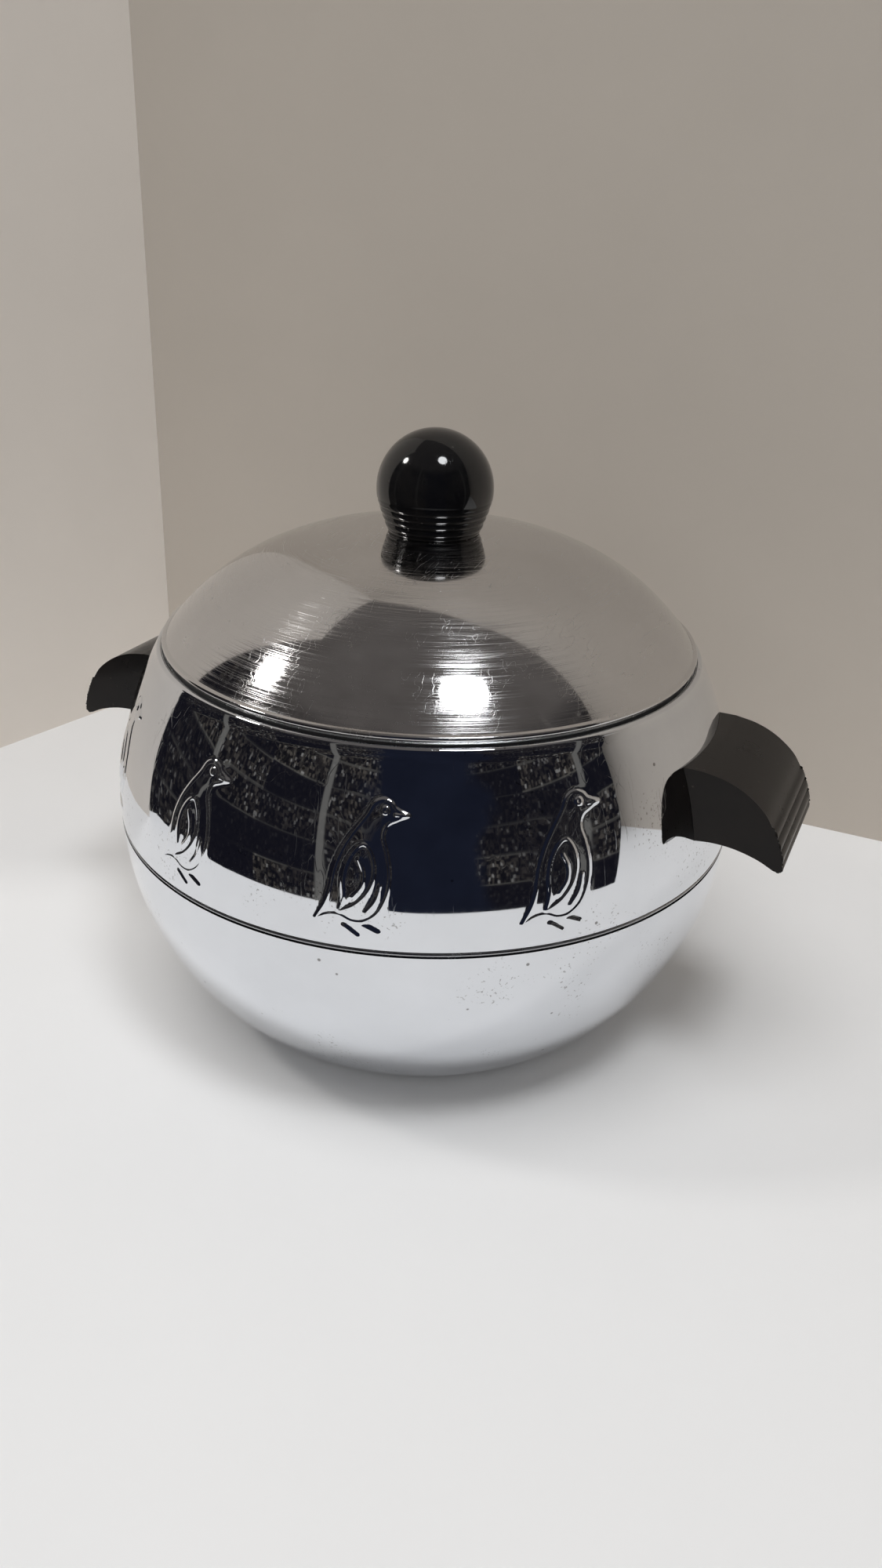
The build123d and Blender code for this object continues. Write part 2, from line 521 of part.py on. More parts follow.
# ---------------------------------------------------------------- knob
KNOB_STEP_HEIGHT = KNOB_CENTRE_HEIGHT - KNOB_STEP_DROP
KNOB_BLANK_BOTTOM = LID_HEIGHT - KNOB_TRIM
KNOB_INSERT_BOTTOM = LID_HEIGHT + KNOB_INSERT_GAP
KNOB_INSERT_TOP = LID_HEIGHT + KNOB_SCREW_REACH + KNOB_SCREW_SPARE
with BuildPart() as knob:
    with BuildSketch(Plane.XZ):
        with BuildLine():
            step_radius = sqrt(KNOB_RADIUS ** 2 - KNOB_STEP_DROP ** 2)
            arc_middle = (
                KNOB_RADIUS * cos(KNOB_ARC_MIDDLE),
                KNOB_CENTRE_HEIGHT + KNOB_RADIUS * sin(KNOB_ARC_MIDDLE),
            )
            ThreePointArc(
                (0, KNOB_CENTRE_HEIGHT + KNOB_RADIUS),
                arc_middle,
                (step_radius, KNOB_STEP_HEIGHT),
            )
            Line((step_radius, KNOB_STEP_HEIGHT), (KNOB_NECK_RADII[0], KNOB_STEP_HEIGHT))
            for ring, (upper, lower) in enumerate(zip(KNOB_NECK_RADII[:-1], KNOB_NECK_RADII[1:])):
                top = KNOB_STEP_HEIGHT - ring * KNOB_RING_HEIGHT
                bulge = ((upper + lower) / 2 + KNOB_RING_BULGE, top - KNOB_RING_HEIGHT / 2)
                ThreePointArc((upper, top), bulge, (lower, top - KNOB_RING_HEIGHT))
            neck_end = (KNOB_NECK_RADII[-1], top - KNOB_RING_HEIGHT)
            foot_middle = (KNOB_FOOT_CURVE[0], neck_end[1] - KNOB_FOOT_CURVE[1])
            foot_end = (KNOB_BASE_RADIUS, neck_end[1] - KNOB_FOOT_DROP)
            ThreePointArc(neck_end, foot_middle, foot_end)
            Polyline(
                foot_end,
                (KNOB_BASE_RADIUS, KNOB_BLANK_BOTTOM),
                (0, KNOB_BLANK_BOTTOM),
                (0, KNOB_CENTRE_HEIGHT + KNOB_RADIUS),
            )
        make_face()
    revolve(axis=Axis.Z)
    with Locations((0, 0, LID_HEIGHT - CROWN_ARC)):
        Sphere(CROWN_ARC + SEAT_GAP, mode=Mode.SUBTRACT)
    with BuildSketch(Plane.XY.offset(KNOB_BLANK_BOTTOM)):
        Circle(KNOB_INSERT_RADIUS)
    extrude(amount=KNOB_INSERT_TOP - KNOB_BLANK_BOTTOM, mode=Mode.SUBTRACT)
knob.part.label = "knob"
export_step(knob.part, "parts/knob.step")

# ---------------------------------------------------------------- knob insert, screw and washers
with BuildPart() as knob_insert:
    with BuildSketch(Plane.XY.offset(KNOB_INSERT_BOTTOM)):
        Circle(KNOB_INSERT_RADIUS)
        Circle(KNOB_SCREW_RADIUS, mode=Mode.SUBTRACT)
    extrude(amount=KNOB_INSERT_TOP - KNOB_INSERT_BOTTOM)
knob_insert.part.label = "knob_insert"
export_step(knob_insert.part, "parts/knob_insert.step")

FLAT_WASHER_TOP = dome_point(0, LID_WALL)[1] - FLAT_WASHER_GAP
with BuildPart() as knob_flat_washer:
    with BuildSketch(Plane.XY.offset(FLAT_WASHER_TOP - FLAT_WASHER_THICKNESS)):
        Circle(FLAT_WASHER_RADIUS)
        Circle(SCREW_HOLE_RADIUS, mode=Mode.SUBTRACT)
    extrude(amount=FLAT_WASHER_THICKNESS)
knob_flat_washer.part.label = "knob_flat_washer"
export_step(knob_flat_washer.part, "parts/knob_flat_washer.step")

LOCK_WASHER_TOP = FLAT_WASHER_TOP - FLAT_WASHER_THICKNESS
with BuildPart() as knob_lock_washer:
    with BuildSketch(Plane.XY.offset(LOCK_WASHER_TOP - WASHER_THICKNESS)):
        Circle(LOCK_WASHER_RADIUS)
        Circle(SCREW_HOLE_RADIUS, mode=Mode.SUBTRACT)
        with Locations((LOCK_WASHER_RADIUS, 0)):
            Rectangle(2 * LOCK_WASHER_RADIUS, LOCK_WASHER_GAP, mode=Mode.SUBTRACT)
    extrude(amount=WASHER_THICKNESS)
knob_lock_washer.part.label = "knob_lock_washer"
export_step(knob_lock_washer.part, "parts/knob_lock_washer.step")

KNOB_HEAD_TOP = LOCK_WASHER_TOP - WASHER_THICKNESS
with BuildPart() as knob_screw:
    with BuildSketch(Plane.XY.offset(KNOB_HEAD_TOP - KNOB_HEAD_THICKNESS)):
        Circle(KNOB_HEAD_RADIUS)
    extrude(amount=KNOB_HEAD_THICKNESS)
    with BuildSketch(Plane.XY.offset(KNOB_HEAD_TOP)):
        Circle(KNOB_SCREW_RADIUS)
    extrude(amount=LID_HEIGHT + KNOB_SCREW_REACH - KNOB_HEAD_TOP)
    with BuildSketch(Plane.XY.offset(KNOB_HEAD_TOP - KNOB_HEAD_THICKNESS)):
        Rectangle(2 * KNOB_HEAD_RADIUS, SLOT_WIDTH)
    extrude(amount=SLOT_DEPTH, mode=Mode.SUBTRACT)
knob_screw.part.label = "knob_screw"
export_step(knob_screw.part, "parts/knob_screw.step")
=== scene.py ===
"""Looks of a chromed double-walled ice bucket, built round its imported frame. Metres, +Z up."""
import json
import math

import bmesh
import bpy
import numpy as np
from mathutils import Matrix, Vector


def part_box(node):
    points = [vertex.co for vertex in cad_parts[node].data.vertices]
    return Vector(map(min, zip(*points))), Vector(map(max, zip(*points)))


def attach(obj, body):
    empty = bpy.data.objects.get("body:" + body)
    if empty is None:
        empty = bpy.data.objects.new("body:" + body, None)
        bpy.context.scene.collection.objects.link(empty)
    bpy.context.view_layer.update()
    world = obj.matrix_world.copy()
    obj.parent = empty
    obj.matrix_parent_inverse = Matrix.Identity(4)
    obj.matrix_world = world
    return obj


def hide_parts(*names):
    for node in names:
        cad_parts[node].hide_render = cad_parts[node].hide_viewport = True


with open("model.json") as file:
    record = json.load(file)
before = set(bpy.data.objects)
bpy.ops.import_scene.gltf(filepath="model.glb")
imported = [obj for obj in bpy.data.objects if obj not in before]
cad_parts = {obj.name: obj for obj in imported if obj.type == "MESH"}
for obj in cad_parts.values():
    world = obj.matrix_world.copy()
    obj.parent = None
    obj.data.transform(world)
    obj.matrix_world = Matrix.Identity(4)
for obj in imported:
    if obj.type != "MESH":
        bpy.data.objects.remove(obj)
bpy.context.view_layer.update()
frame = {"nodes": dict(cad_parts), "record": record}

MM = 0.001

# ---------------------------------------- sizes read from the frame
band_low, band_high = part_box("seam_band")
lid_low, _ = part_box("lid_shell")
_, liner_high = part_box("inner_liner")
pan_low, pan_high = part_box("lid_pan")
knob_low, knob_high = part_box("knob")
handle_low, handle_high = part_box("handle_right")
_, shell_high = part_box("upper_shell")
foot_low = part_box("lower_shell")[0].z

BODY_RADIUS = band_high.y
SEAM_HEIGHT = (band_low.z + band_high.z) / 2
LINER_TOP = liner_high.z
LID_SEAT = lid_low.z

# ---------------------------------------- profile of the sheet metal
BOWL_ARC = 88.0 * MM
SHOULDER_ARC = 109.0 * MM
WALL = 1.0 * MM
SHELL_GAP = 1.0 * MM             # from the seam's middle to the edge of each shell
RIB_HALF = 0.55 * MM
RIB_BOW = 0.3 * MM
BAND_FLANGE_OUT = 100.2 * MM
BAND_FLANGE_IN = 99.0 * MM
BEAD_RADIUS = 1.2 * MM
MOUTH_RADIUS = 80.0 * MM
FLANGE_WALL = 1.0 * MM
CORNER_HEIGHT = 1.2 * MM
CORNER_BOW = 0.18 * MM
FOOT_OUTER = 61.0 * MM
FOOT_INNER = 50.0 * MM
BASE_RECESS = 2.2 * MM
RECESS_SLOPE = 3.0 * MM
LINER_WALL = 0.8 * MM
SEAL_THICKNESS = 0.8 * MM        # the seal between the upper shell's flange and the liner's
LINER_LIP_ROUND = 1.2 * MM
LINER_LIP_DROP = 1.0 * MM
LINER_MOUTH = 78.4 * MM
LINER_LOW_RADIUS = 75.0 * MM
LINER_LOW_HEIGHT = 42.0 * MM
LINER_FLOOR_RADIUS = 46.0 * MM
LINER_FLOOR_HEIGHT = 13.0 * MM
CROWN_TOP = 163.0 * MM
CROWN_ARC = 215.0 * MM
CROWN_RADIUS = 34.0 * MM
LID_SHOULDER_ARC = 78.3 * MM
LID_WALL = 0.9 * MM
LID_EDGE = 84.2 * MM
LID_EDGE_TRIM = 0.35 * MM        # the dome's outer face runs into the hem this far in
LID_BACK_TRIM = 0.6 * MM
HEM_RADIUS = 0.9 * MM
HEM_CENTRE = 84.4 * MM
LIP_INNER = 82.0 * MM
LIP_WALL = 0.7 * MM
PAN_WALL = 0.7 * MM
PLUG_RADIUS = 77.4 * MM
PLUG_CORNER = 4.0 * MM
SCREW_HOLE = 2.6 * MM
CROWN_ANGLE = math.asin(CROWN_RADIUS / CROWN_ARC)

KNOB_STEP_DROP = 2.6 * MM        # the step below the ball's middle
KNOB_STEP_HEIGHT = 0.12 * MM
KNOB_RING_RADII = [r * MM for r in (17.5, 17.0, 16.2, 15.3, 14.6)]
KNOB_RING_HEIGHT = 2.3 * MM
KNOB_RING_BOW = 0.34 * MM
KNOB_FOOT_ROUND = 1.7 * MM
KNOB_FOOT_INSET = 0.4 * MM
KNOB_BORE = 4.5 * MM
KNOB_CROWN_DEG = 88.5            # the ball's arc starts here, beside its top point

# side outlines of the right handle, (out, up) in millimetres
HANDLE_CREST = ((97.0, 111.2), (104.0, 109.9), (110.4, 107.1), (116.2, 102.6), (119.6, 97.8))
HANDLE_STEPS = ((119.6, 97.8), (121.2, 94.4), (122.6, 90.9), (123.6, 87.2))
HANDLE_CHIN = ((123.6, 87.2), (124.2, 85.6), (123.7, 84.4), (122.2, 84.2))
HANDLE_UNDERSIDE = ((122.2, 84.2), (116.5, 86.9), (109.5, 88.7), (103.0, 89.1), (97.0, 88.5))
HANDLE_STEP_BOW = 0.62
HANDLE_STATIONS = 15
HANDLE_EDGE_ROUND = 0.55 * MM
HANDLE_END_STRIP = 0.9 * MM      # narrow strips by the rounded edges keep the broad faces' shading flat
HANDLE_CAP_STRIP = 0.12 * MM
HANDLE_ROOT_POINTS = 10
HANDLE_SEAT_GAP = 0.05 * MM

LATHE_STEPS = 288
FINE_LATHE_STEPS = 384
KNOB_LATHE_STEPS = 192
ON_AXIS = 1e-7                   # a profile point nearer than this is on the axis
SMOOTH_ANGLE = math.radians(38)


def bowl_radius(height, inset=0.0):
    """Radius of the lower shell at a height, moved in by inset."""
    return BODY_RADIUS - BOWL_ARC + math.sqrt((BOWL_ARC - inset) ** 2 - (SEAM_HEIGHT - height) ** 2)


def shoulder_radius(height, inset=0.0):
    """Radius of the upper shell at a height, moved in by inset."""
    rise = height - SEAM_HEIGHT
    return BODY_RADIUS - SHOULDER_ARC + math.sqrt((SHOULDER_ARC - inset) ** 2 - rise ** 2)


def dome_point(radius, inset=0.0):
    """Profile point of the lid's dome at a radius of its outer face, moved in by inset."""
    if radius <= CROWN_RADIUS:
        tilt = math.asin(radius / CROWN_ARC)
        height = CROWN_TOP - CROWN_ARC * (1 - math.cos(tilt))
    else:
        tilt = math.asin(math.sin(CROWN_ANGLE) + (radius - CROWN_RADIUS) / LID_SHOULDER_ARC)
        junction = CROWN_TOP - CROWN_ARC * (1 - math.cos(CROWN_ANGLE))
        height = junction - LID_SHOULDER_ARC * (math.cos(CROWN_ANGLE) - math.cos(tilt))
    return radius - inset * math.sin(tilt), height - inset * math.cos(tilt)


# ======================================== mesh tools
def spread(start, end, count):
    """Evenly spaced numbers from start to end, both included."""
    return [start + (end - start) * i / (count - 1) for i in range(count)]


def arc(centre, radius, start_deg, end_deg, count):
    """Points of a circular arc in a profile, as (radius, height)."""
    angles = [math.radians(a) for a in spread(start_deg, end_deg, count)]
    return [(centre[0] + radius * math.cos(a), centre[1] + radius * math.sin(a)) for a in angles]


def bowed(start, end, bulge, count):
    """Points from start to end on a shallow arc that stands out by bulge to the right of the run."""
    run = Vector((end[0] - start[0], end[1] - start[1]))
    side = Vector((-run.y, run.x)).normalized()
    shares = spread(0, 1, count)
    return [
        (
            start[0] + run.x * s + side.x * bulge * 4 * s * (1 - s),
            start[1] + run.y * s + side.y * bulge * 4 * s * (1 - s),
        )
        for s in shares
    ]


def smooth_curve(points, steps):
    """Catmull-Rom curve through the points, with steps samples for each span."""
    pts = [Vector(p) for p in points]
    ends = [pts[0] * 2 - pts[1]] + pts + [pts[-1] * 2 - pts[-2]]
    curve = []
    for a, b, c, d in zip(ends[:-3], ends[1:-2], ends[2:-1], ends[3:]):
        for i in range(steps):
            t = i / steps
            bend = (2 * a - 5 * b + 4 * c - d) * t * t + (3 * b - a - 3 * c + d) * t ** 3
            curve.append(0.5 * (2 * b + (c - a) * t + bend))
    curve.append(pts[-1])
    return [tuple(p) for p in curve]


def new_piece(name, vertices, faces, body, replaced, slot_name):
    """A mesh piece with smooth faces and crisp creases that stands for CAD nodes on a body."""
    mesh = bpy.data.meshes.new(name)
    mesh.from_pydata(vertices, [], faces)
    mesh.validate()
    work = bmesh.new()
    work.from_mesh(mesh)
    bmesh.ops.recalc_face_normals(work, faces=work.faces)
    work.to_mesh(mesh)
    work.free()
    mesh.shade_smooth()
    mesh.set_sharp_from_angle(angle=SMOOTH_ANGLE)
    mesh.materials.append(LOOKS[slot_name])
    piece = bpy.data.objects.new(name, mesh)
    bpy.context.scene.collection.objects.link(piece)
    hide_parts(*replaced)
    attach(piece, body)
    return piece


def lathe(outline, steps):
    """Vertices and faces of a closed profile turned round the Z axis. Points on the axis are shared."""
    vertices, rings = [], []
    turns = [2 * math.pi * i / steps for i in range(steps)]
    for radius, height in outline:
        if radius < ON_AXIS:
            rings.append([len(vertices)] * steps)
            vertices.append((0, 0, height))
        else:
            rings.append(list(range(len(vertices), len(vertices) + steps)))
            vertices += [(radius * math.cos(t), radius * math.sin(t), height) for t in turns]
    faces = []
    for lower, upper in zip(rings, rings[1:] + rings[:1]):
        for i in range(steps):
            j = (i + 1) % steps
            corners = dict.fromkeys((lower[i], lower[j], upper[j], upper[i]))
            if len(corners) > 2:
                faces.append(tuple(corners))
    return vertices, faces


# ======================================== material tools
def node(tree, kind, inputs=None, **settings):
    """A shader node with its settings, and its inputs set or linked."""
    made = tree.nodes.new(kind)
    for name, value in settings.items():
        setattr(made, name, value)
    for key, value in (inputs or {}).items():
        if isinstance(value, bpy.types.NodeSocket):
            tree.links.new(value, made.inputs[key])
        else:
            made.inputs[key].default_value = value
    return made


def maths(tree, operation, first, second=0.0):
    """Result of a math node."""
    return node(tree, "ShaderNodeMath", {0: first, 1: second}, operation=operation).outputs[0]


def remap(tree, value, low, high, to_low=0.0, to_high=1.0):
    """Value mapped from low..high to to_low..to_high, clamped."""
    inputs = {"Value": value, "From Min": low, "From Max": high, "To Min": to_low, "To Max": to_high}
    return node(tree, "ShaderNodeMapRange", inputs).outputs[0]


def mix_colour(tree, share, first, second):
    """Blend of two colours."""
    made = node(tree, "ShaderNodeMix", data_type="RGBA")
    for key, value in (("Factor", share), (6, first), (7, second)):
        socket = made.inputs[key]
        if isinstance(value, bpy.types.NodeSocket):
            tree.links.new(value, socket)
        else:
            socket.default_value = value
    return made.outputs[2]


def noise(tree, vector, scale, detail=3.0, roughness=0.5):
    """Value of a noise texture, about 0.25 to 0.75."""
    inputs = {"Vector": vector, "Scale": scale, "Detail": detail, "Roughness": roughness}
    return node(tree, "ShaderNodeTexNoise", inputs).outputs["Fac"]


def place(tree):
    """Coordinates fixed to the object, in metres."""
    return node(tree, "ShaderNodeTexCoord").outputs["Object"]


def turned_place(tree, angles, stretch):
    """Object coordinates turned by angles in degrees and stretched along each axis."""
    turn = [math.radians(a) for a in angles]
    inputs = {"Vector": place(tree), "Rotation": turn, "Scale": stretch}
    return node(tree, "ShaderNodeMapping", inputs).outputs[0]


def distance_from_axis(tree, parts):
    """Distance of a separated vector from the Z axis."""
    squares = [maths(tree, "MULTIPLY", part, part) for part in parts[:2]]
    return maths(tree, "SQRT", maths(tree, "ADD", *squares))


def polar_place(tree, radial, angular):
    """Coordinates along the radius, the angle and the height, for marks that follow the turning."""
    parts = node(tree, "ShaderNodeSeparateXYZ", {0: place(tree)}).outputs
    radius = maths(tree, "MULTIPLY", distance_from_axis(tree, parts), radial)
    angle = maths(tree, "MULTIPLY", maths(tree, "ARCTAN2", parts[1], parts[0]), angular)
    height = maths(tree, "MULTIPLY", parts[2], radial)
    return node(tree, "ShaderNodeCombineXYZ", {0: radius, 1: angle, 2: height}).outputs[0]


def hairlines(tree, vector, scale, width, patch_scale, cover):
    """Mask of broken thin lines along the long direction of the coordinates."""
    lines = maths(tree, "ABSOLUTE", maths(tree, "SUBTRACT", noise(tree, vector, scale, 1.0), 0.5))
    thin = remap(tree, lines, 0.0, width, 1.0, 0.0)
    patches = noise(tree, place(tree), patch_scale, 2.0)
    return maths(tree, "MULTIPLY", thin, remap(tree, patches, cover, cover + 0.06))


def scratches(tree, sets):
    """Mask of hairline scratches from sets of (turn, stretch, scale, width, patch scale, cover)."""
    marks = 0.0
    for turn, stretch, *settings in sets:
        marks = maths(tree, "MAXIMUM", marks, hairlines(tree, turned_place(tree, turn, stretch), *settings))
    return marks


def specks(tree, scale, size, cover):
    """Mask of sparse round specks."""
    cells = node(tree, "ShaderNodeTexVoronoi", {"Vector": place(tree), "Scale": scale}, feature="F1")
    round_spots = remap(tree, cells.outputs["Distance"], size * 0.6, size, 1.0, 0.0)
    chosen = node(tree, "ShaderNodeSeparateColor", {0: cells.outputs["Color"]}).outputs[0]
    return maths(tree, "MULTIPLY", round_spots, remap(tree, chosen, cover, cover + 0.02))


def plus(tree, first, second, share):
    """First with a share of second added."""
    return maths(tree, "ADD", first, maths(tree, "MULTIPLY", second, share))


def stained(tree, stain, low, high, tint, share):
    """Tint that falls to a share of itself as the stain rises from low to high."""
    return mix_colour(tree, remap(tree, stain, low, high), tint, [c * share for c in tint[:3]] + [1])


def new_look(name, **constants):
    """A material with one Principled shader, its constant values set on the shader's own sockets."""
    look = bpy.data.materials.new(name)
    look.use_nodes = True
    tree = look.node_tree
    tree.nodes.clear()
    shader = node(tree, "ShaderNodeBsdfPrincipled")
    for key, value in constants.items():
        shader.inputs[key.replace("_", " ")].default_value = value
    output = node(tree, "ShaderNodeOutputMaterial")
    tree.links.new(shader.outputs[0], output.inputs["Surface"])
    return look, tree, shader


def bump(tree, shader, layers):
    """Chain of bump nodes: (height socket, depth in metres)."""
    normal = None
    for height, depth in layers:
        inputs = {"Height": height, "Distance": depth, "Strength": 1.0}
        if normal is not None:
            inputs["Normal"] = normal
        normal = node(tree, "ShaderNodeBump", inputs).outputs[0]
    tree.links.new(normal, shader.inputs["Normal"])


def dress(tree, shader, colour, rough, layers):
    """Gives a shader its colour, its roughness and its relief."""
    tree.links.new(colour, shader.inputs["Base Color"])
    tree.links.new(rough, shader.inputs["Roughness"])
    bump(tree, shader, layers)


def turn_grain(tree, shader):
    """Makes the highlights follow the turning marks."""
    tangent = node(tree, "ShaderNodeTangent", direction_type="RADIAL", axis="Z").outputs[0]
    tree.links.new(tangent, shader.inputs["Tangent"])


# ======================================== materials
# Sets of scratches: turn in degrees, stretch, lines a metre, width, patches a metre, cover.
CHROME_SCRATCHES = (
    ((15, 40, 25), (1, 1, 0.05), 190.0, 0.006, 30.0, 0.5),
    ((70, 10, 65), (1, 1, 0.06), 230.0, 0.005, 45.0, 0.52),
)
LID_SCRATCHES = (
    ((10, 30, 20), (1, 0.07, 1), 330.0, 0.008, 60.0, 0.545),
    ((5, 15, 75), (1, 0.09, 1), 380.0, 0.008, 75.0, 0.56),
    ((0, 10, 130), (1, 0.08, 1), 350.0, 0.008, 50.0, 0.55),
)
SPUN_SCRATCHES = (((25, 15, 50), (1, 0.05, 1), 150.0, 0.006, 30.0, 0.48),)
KNOB_SCRATCHES = (
    ((30, 20, 10), (1, 1, 0.06), 420.0, 0.008, 90.0, 0.57),
    ((60, 70, 35), (1, 1, 0.06), 480.0, 0.008, 110.0, 0.57),
)
HANDLE_RUBS = (((10, 25, 80), (0.06, 1, 1), 260.0, 0.008, 60.0, 0.5),)
MICRON = 0.000001

CHROME_TINT = (0.80, 0.82, 0.855, 1)
BAND_TINT = (0.42, 0.425, 0.44, 1)
PIT_TINT = (0.12, 0.11, 0.10, 1)
GRIT_TINT = (0.20, 0.19, 0.18, 1)
LID_TINT = (0.70, 0.69, 0.69, 1)
LID_SMUDGE_TINT = (0.63, 0.62, 0.62, 1)
LINER_TINT = (0.72, 0.72, 0.71, 1)
PAN_TINT = (0.70, 0.70, 0.69, 1)
KNOB_BLACK = (0.0035, 0.0035, 0.004, 1)
KNOB_FILM = (0.007, 0.0065, 0.0065, 1)
KNOB_DUST = (0.20, 0.19, 0.17, 1)
HANDLE_BLACK = (0.0050, 0.0042, 0.0040, 1)
HANDLE_BROWN = (0.0095, 0.0074, 0.0064, 1)
HANDLE_DUST = (0.12, 0.10, 0.09, 1)
RUBBER_BLACK = (0.014, 0.014, 0.015, 1)
RUBBER_BLOOM = (0.035, 0.034, 0.034, 1)
WOOL_LIGHT = (0.62, 0.55, 0.36, 1)
WOOL_DARK = (0.42, 0.36, 0.20, 1)
CORK_LIGHT = (0.42, 0.26, 0.13, 1)
CORK_DARK = (0.20, 0.11, 0.05, 1)
STEEL_TINT = (0.55, 0.55, 0.56, 1)
BRASS_TINT = (0.75, 0.55, 0.25, 1)


def chrome(name, tint, haze, pits=True):
    """Mirror chrome plate with a faint haze, wiping marks, hairline scratches and a few pits."""
    look, tree, shader = new_look(name, Metallic=1.0)
    smudge = noise(tree, place(tree), scale=22.0, detail=5.0, roughness=0.6)
    wipes = noise(tree, turned_place(tree, (20, 35, 10), (1.0, 1.0, 0.16)), scale=160.0)
    marks = scratches(tree, CHROME_SCRATCHES)
    colour = stained(tree, smudge, 0.35, 0.7, tint, 0.93)
    if pits:
        pit = specks(tree, scale=210.0, size=0.13, cover=0.92)
        colour = mix_colour(tree, maths(tree, "MULTIPLY", pit, 0.75), colour, PIT_TINT)
        marks = maths(tree, "MAXIMUM", marks, maths(tree, "MULTIPLY", pit, 0.8))
        grit = remap(tree, noise(tree, place(tree), scale=1100.0, detail=2.0), 0.64, 0.68)
        patches = remap(tree, noise(tree, place(tree), scale=38.0, detail=2.0), 0.56, 0.62)
        worn = maths(tree, "MULTIPLY", grit, patches)
        colour = mix_colour(tree, maths(tree, "MULTIPLY", worn, 0.6), colour, GRIT_TINT)
    rough = remap(tree, smudge, 0.35, 0.72, haze, haze * 2.2)
    rough = maths(tree, "ADD", rough, remap(tree, wipes, 0.5, 0.75, 0.0, haze * 0.8))
    rough = plus(tree, rough, marks, 0.096)
    swell = noise(tree, place(tree), scale=26.0, detail=1.0)
    dress(tree, shader, colour, rough, [(swell, 60 * MICRON), (marks, -3.6 * MICRON)])
    return look


def polished_lid(name):
    """Chromed dome polished on a wheel: fine rings that draw highlights out radially, and scratches."""
    look, tree, shader = new_look(name, Metallic=1.0, Anisotropic=0.85, Anisotropic_Rotation=0.25)
    rings = noise(tree, polar_place(tree, radial=4200.0, angular=1.6), scale=1.0, detail=2.0)
    broad = noise(tree, polar_place(tree, radial=700.0, angular=0.8), scale=1.0, detail=2.0)
    smudge = noise(tree, place(tree), scale=16.0, detail=4.0, roughness=0.6)
    turning = polar_place(tree, radial=900.0, angular=1.1)
    ring_marks = hairlines(tree, turning, scale=1.0, width=0.010, patch_scale=24.0, cover=0.52)
    marks = maths(tree, "MAXIMUM", scratches(tree, LID_SCRATCHES), ring_marks)
    colour = mix_colour(tree, remap(tree, smudge, 0.35, 0.7), LID_TINT, LID_SMUDGE_TINT)
    rough = remap(tree, smudge, 0.35, 0.72, 0.045, 0.07)
    rough = plus(tree, rough, remap(tree, rings, 0.50, 0.58), 0.15)
    rough = plus(tree, rough, marks, 0.25)
    dress(tree, shader, colour, rough, [(broad, 0.8 * MICRON), (marks, -2.2 * MICRON)])
    turn_grain(tree, shader)
    return look


def spun_metal(name, tint, rough, ring_scale):
    """Satin aluminium with turning rings, for the faces seen only with the lid off."""
    look, tree, shader = new_look(name, Metallic=1.0, Anisotropic=0.5)
    rings = noise(tree, polar_place(tree, radial=ring_scale, angular=1.2), scale=1.0)
    stain = noise(tree, place(tree), scale=30.0, detail=5.0, roughness=0.65)
    marks = scratches(tree, SPUN_SCRATCHES)
    colour = stained(tree, stain, 0.4, 0.7, tint, 0.82)
    satin = plus(tree, remap(tree, rings, 0.3, 0.7, rough, rough * 1.35), marks, 0.2)
    dress(tree, shader, colour, satin, [(rings, 6 * MICRON), (marks, -12 * MICRON)])
    turn_grain(tree, shader)
    return look


def gloss_plastic(name):
    """Glossy black moulded knob: deep colour, a wiped film and hair-fine scratches."""
    look, tree, shader = new_look(name, IOR=1.5, Coat_Weight=0.1, Coat_Roughness=0.04)
    film = noise(tree, place(tree), scale=60.0, detail=5.0, roughness=0.6)
    marks = scratches(tree, KNOB_SCRATCHES)
    dust = specks(tree, scale=600.0, size=0.18, cover=0.93)
    colour = mix_colour(tree, remap(tree, film, 0.4, 0.7), KNOB_BLACK, KNOB_FILM)
    colour = mix_colour(tree, maths(tree, "MULTIPLY", dust, 0.25), colour, KNOB_DUST)
    rough = plus(tree, remap(tree, film, 0.35, 0.72, 0.06, 0.13), marks, 0.2)
    swell = noise(tree, place(tree), scale=90.0, detail=2.0)
    dress(tree, shader, colour, rough, [(swell, 10 * MICRON), (marks, -4 * MICRON)])
    return look


def satin_plastic(name):
    """Satin black phenolic handle, browned a little with age and rubbed by hands."""
    look, tree, shader = new_look(
        name, IOR=1.5, Specular_IOR_Level=0.1, Coat_Weight=0.2, Coat_Roughness=0.08
    )
    cloud = noise(tree, place(tree), scale=35.0, detail=5.0, roughness=0.6)
    grain = noise(tree, place(tree), scale=1500.0, detail=3.0, roughness=0.6)
    rub = scratches(tree, HANDLE_RUBS)
    dust = specks(tree, scale=420.0, size=0.17, cover=0.92)
    colour = mix_colour(tree, remap(tree, cloud, 0.35, 0.7), HANDLE_BLACK, HANDLE_BROWN)
    colour = mix_colour(tree, maths(tree, "MULTIPLY", dust, 0.2), colour, HANDLE_DUST)
    rough = plus(tree, remap(tree, cloud, 0.3, 0.75, 0.24, 0.34), rub, 0.1)
    dress(tree, shader, colour, rough, [(grain, 12 * MICRON), (rub, -6 * MICRON)])
    return look


def dull_metal(name, tint, rough):
    """Plain fastener metal with tool marks and tarnish."""
    look, tree, shader = new_look(name, Metallic=1.0)
    tarnish = noise(tree, place(tree), scale=260.0, detail=5.0, roughness=0.65)
    tool = noise(tree, turned_place(tree, (20, 10, 40), (1, 0.1, 1)), scale=2400.0, detail=2.0)
    colour = stained(tree, tarnish, 0.4, 0.7, tint, 0.6)
    dress(tree, shader, colour, remap(tree, tarnish, 0.35, 0.7, rough, rough * 1.5), [(tool, 10 * MICRON)])
    return look


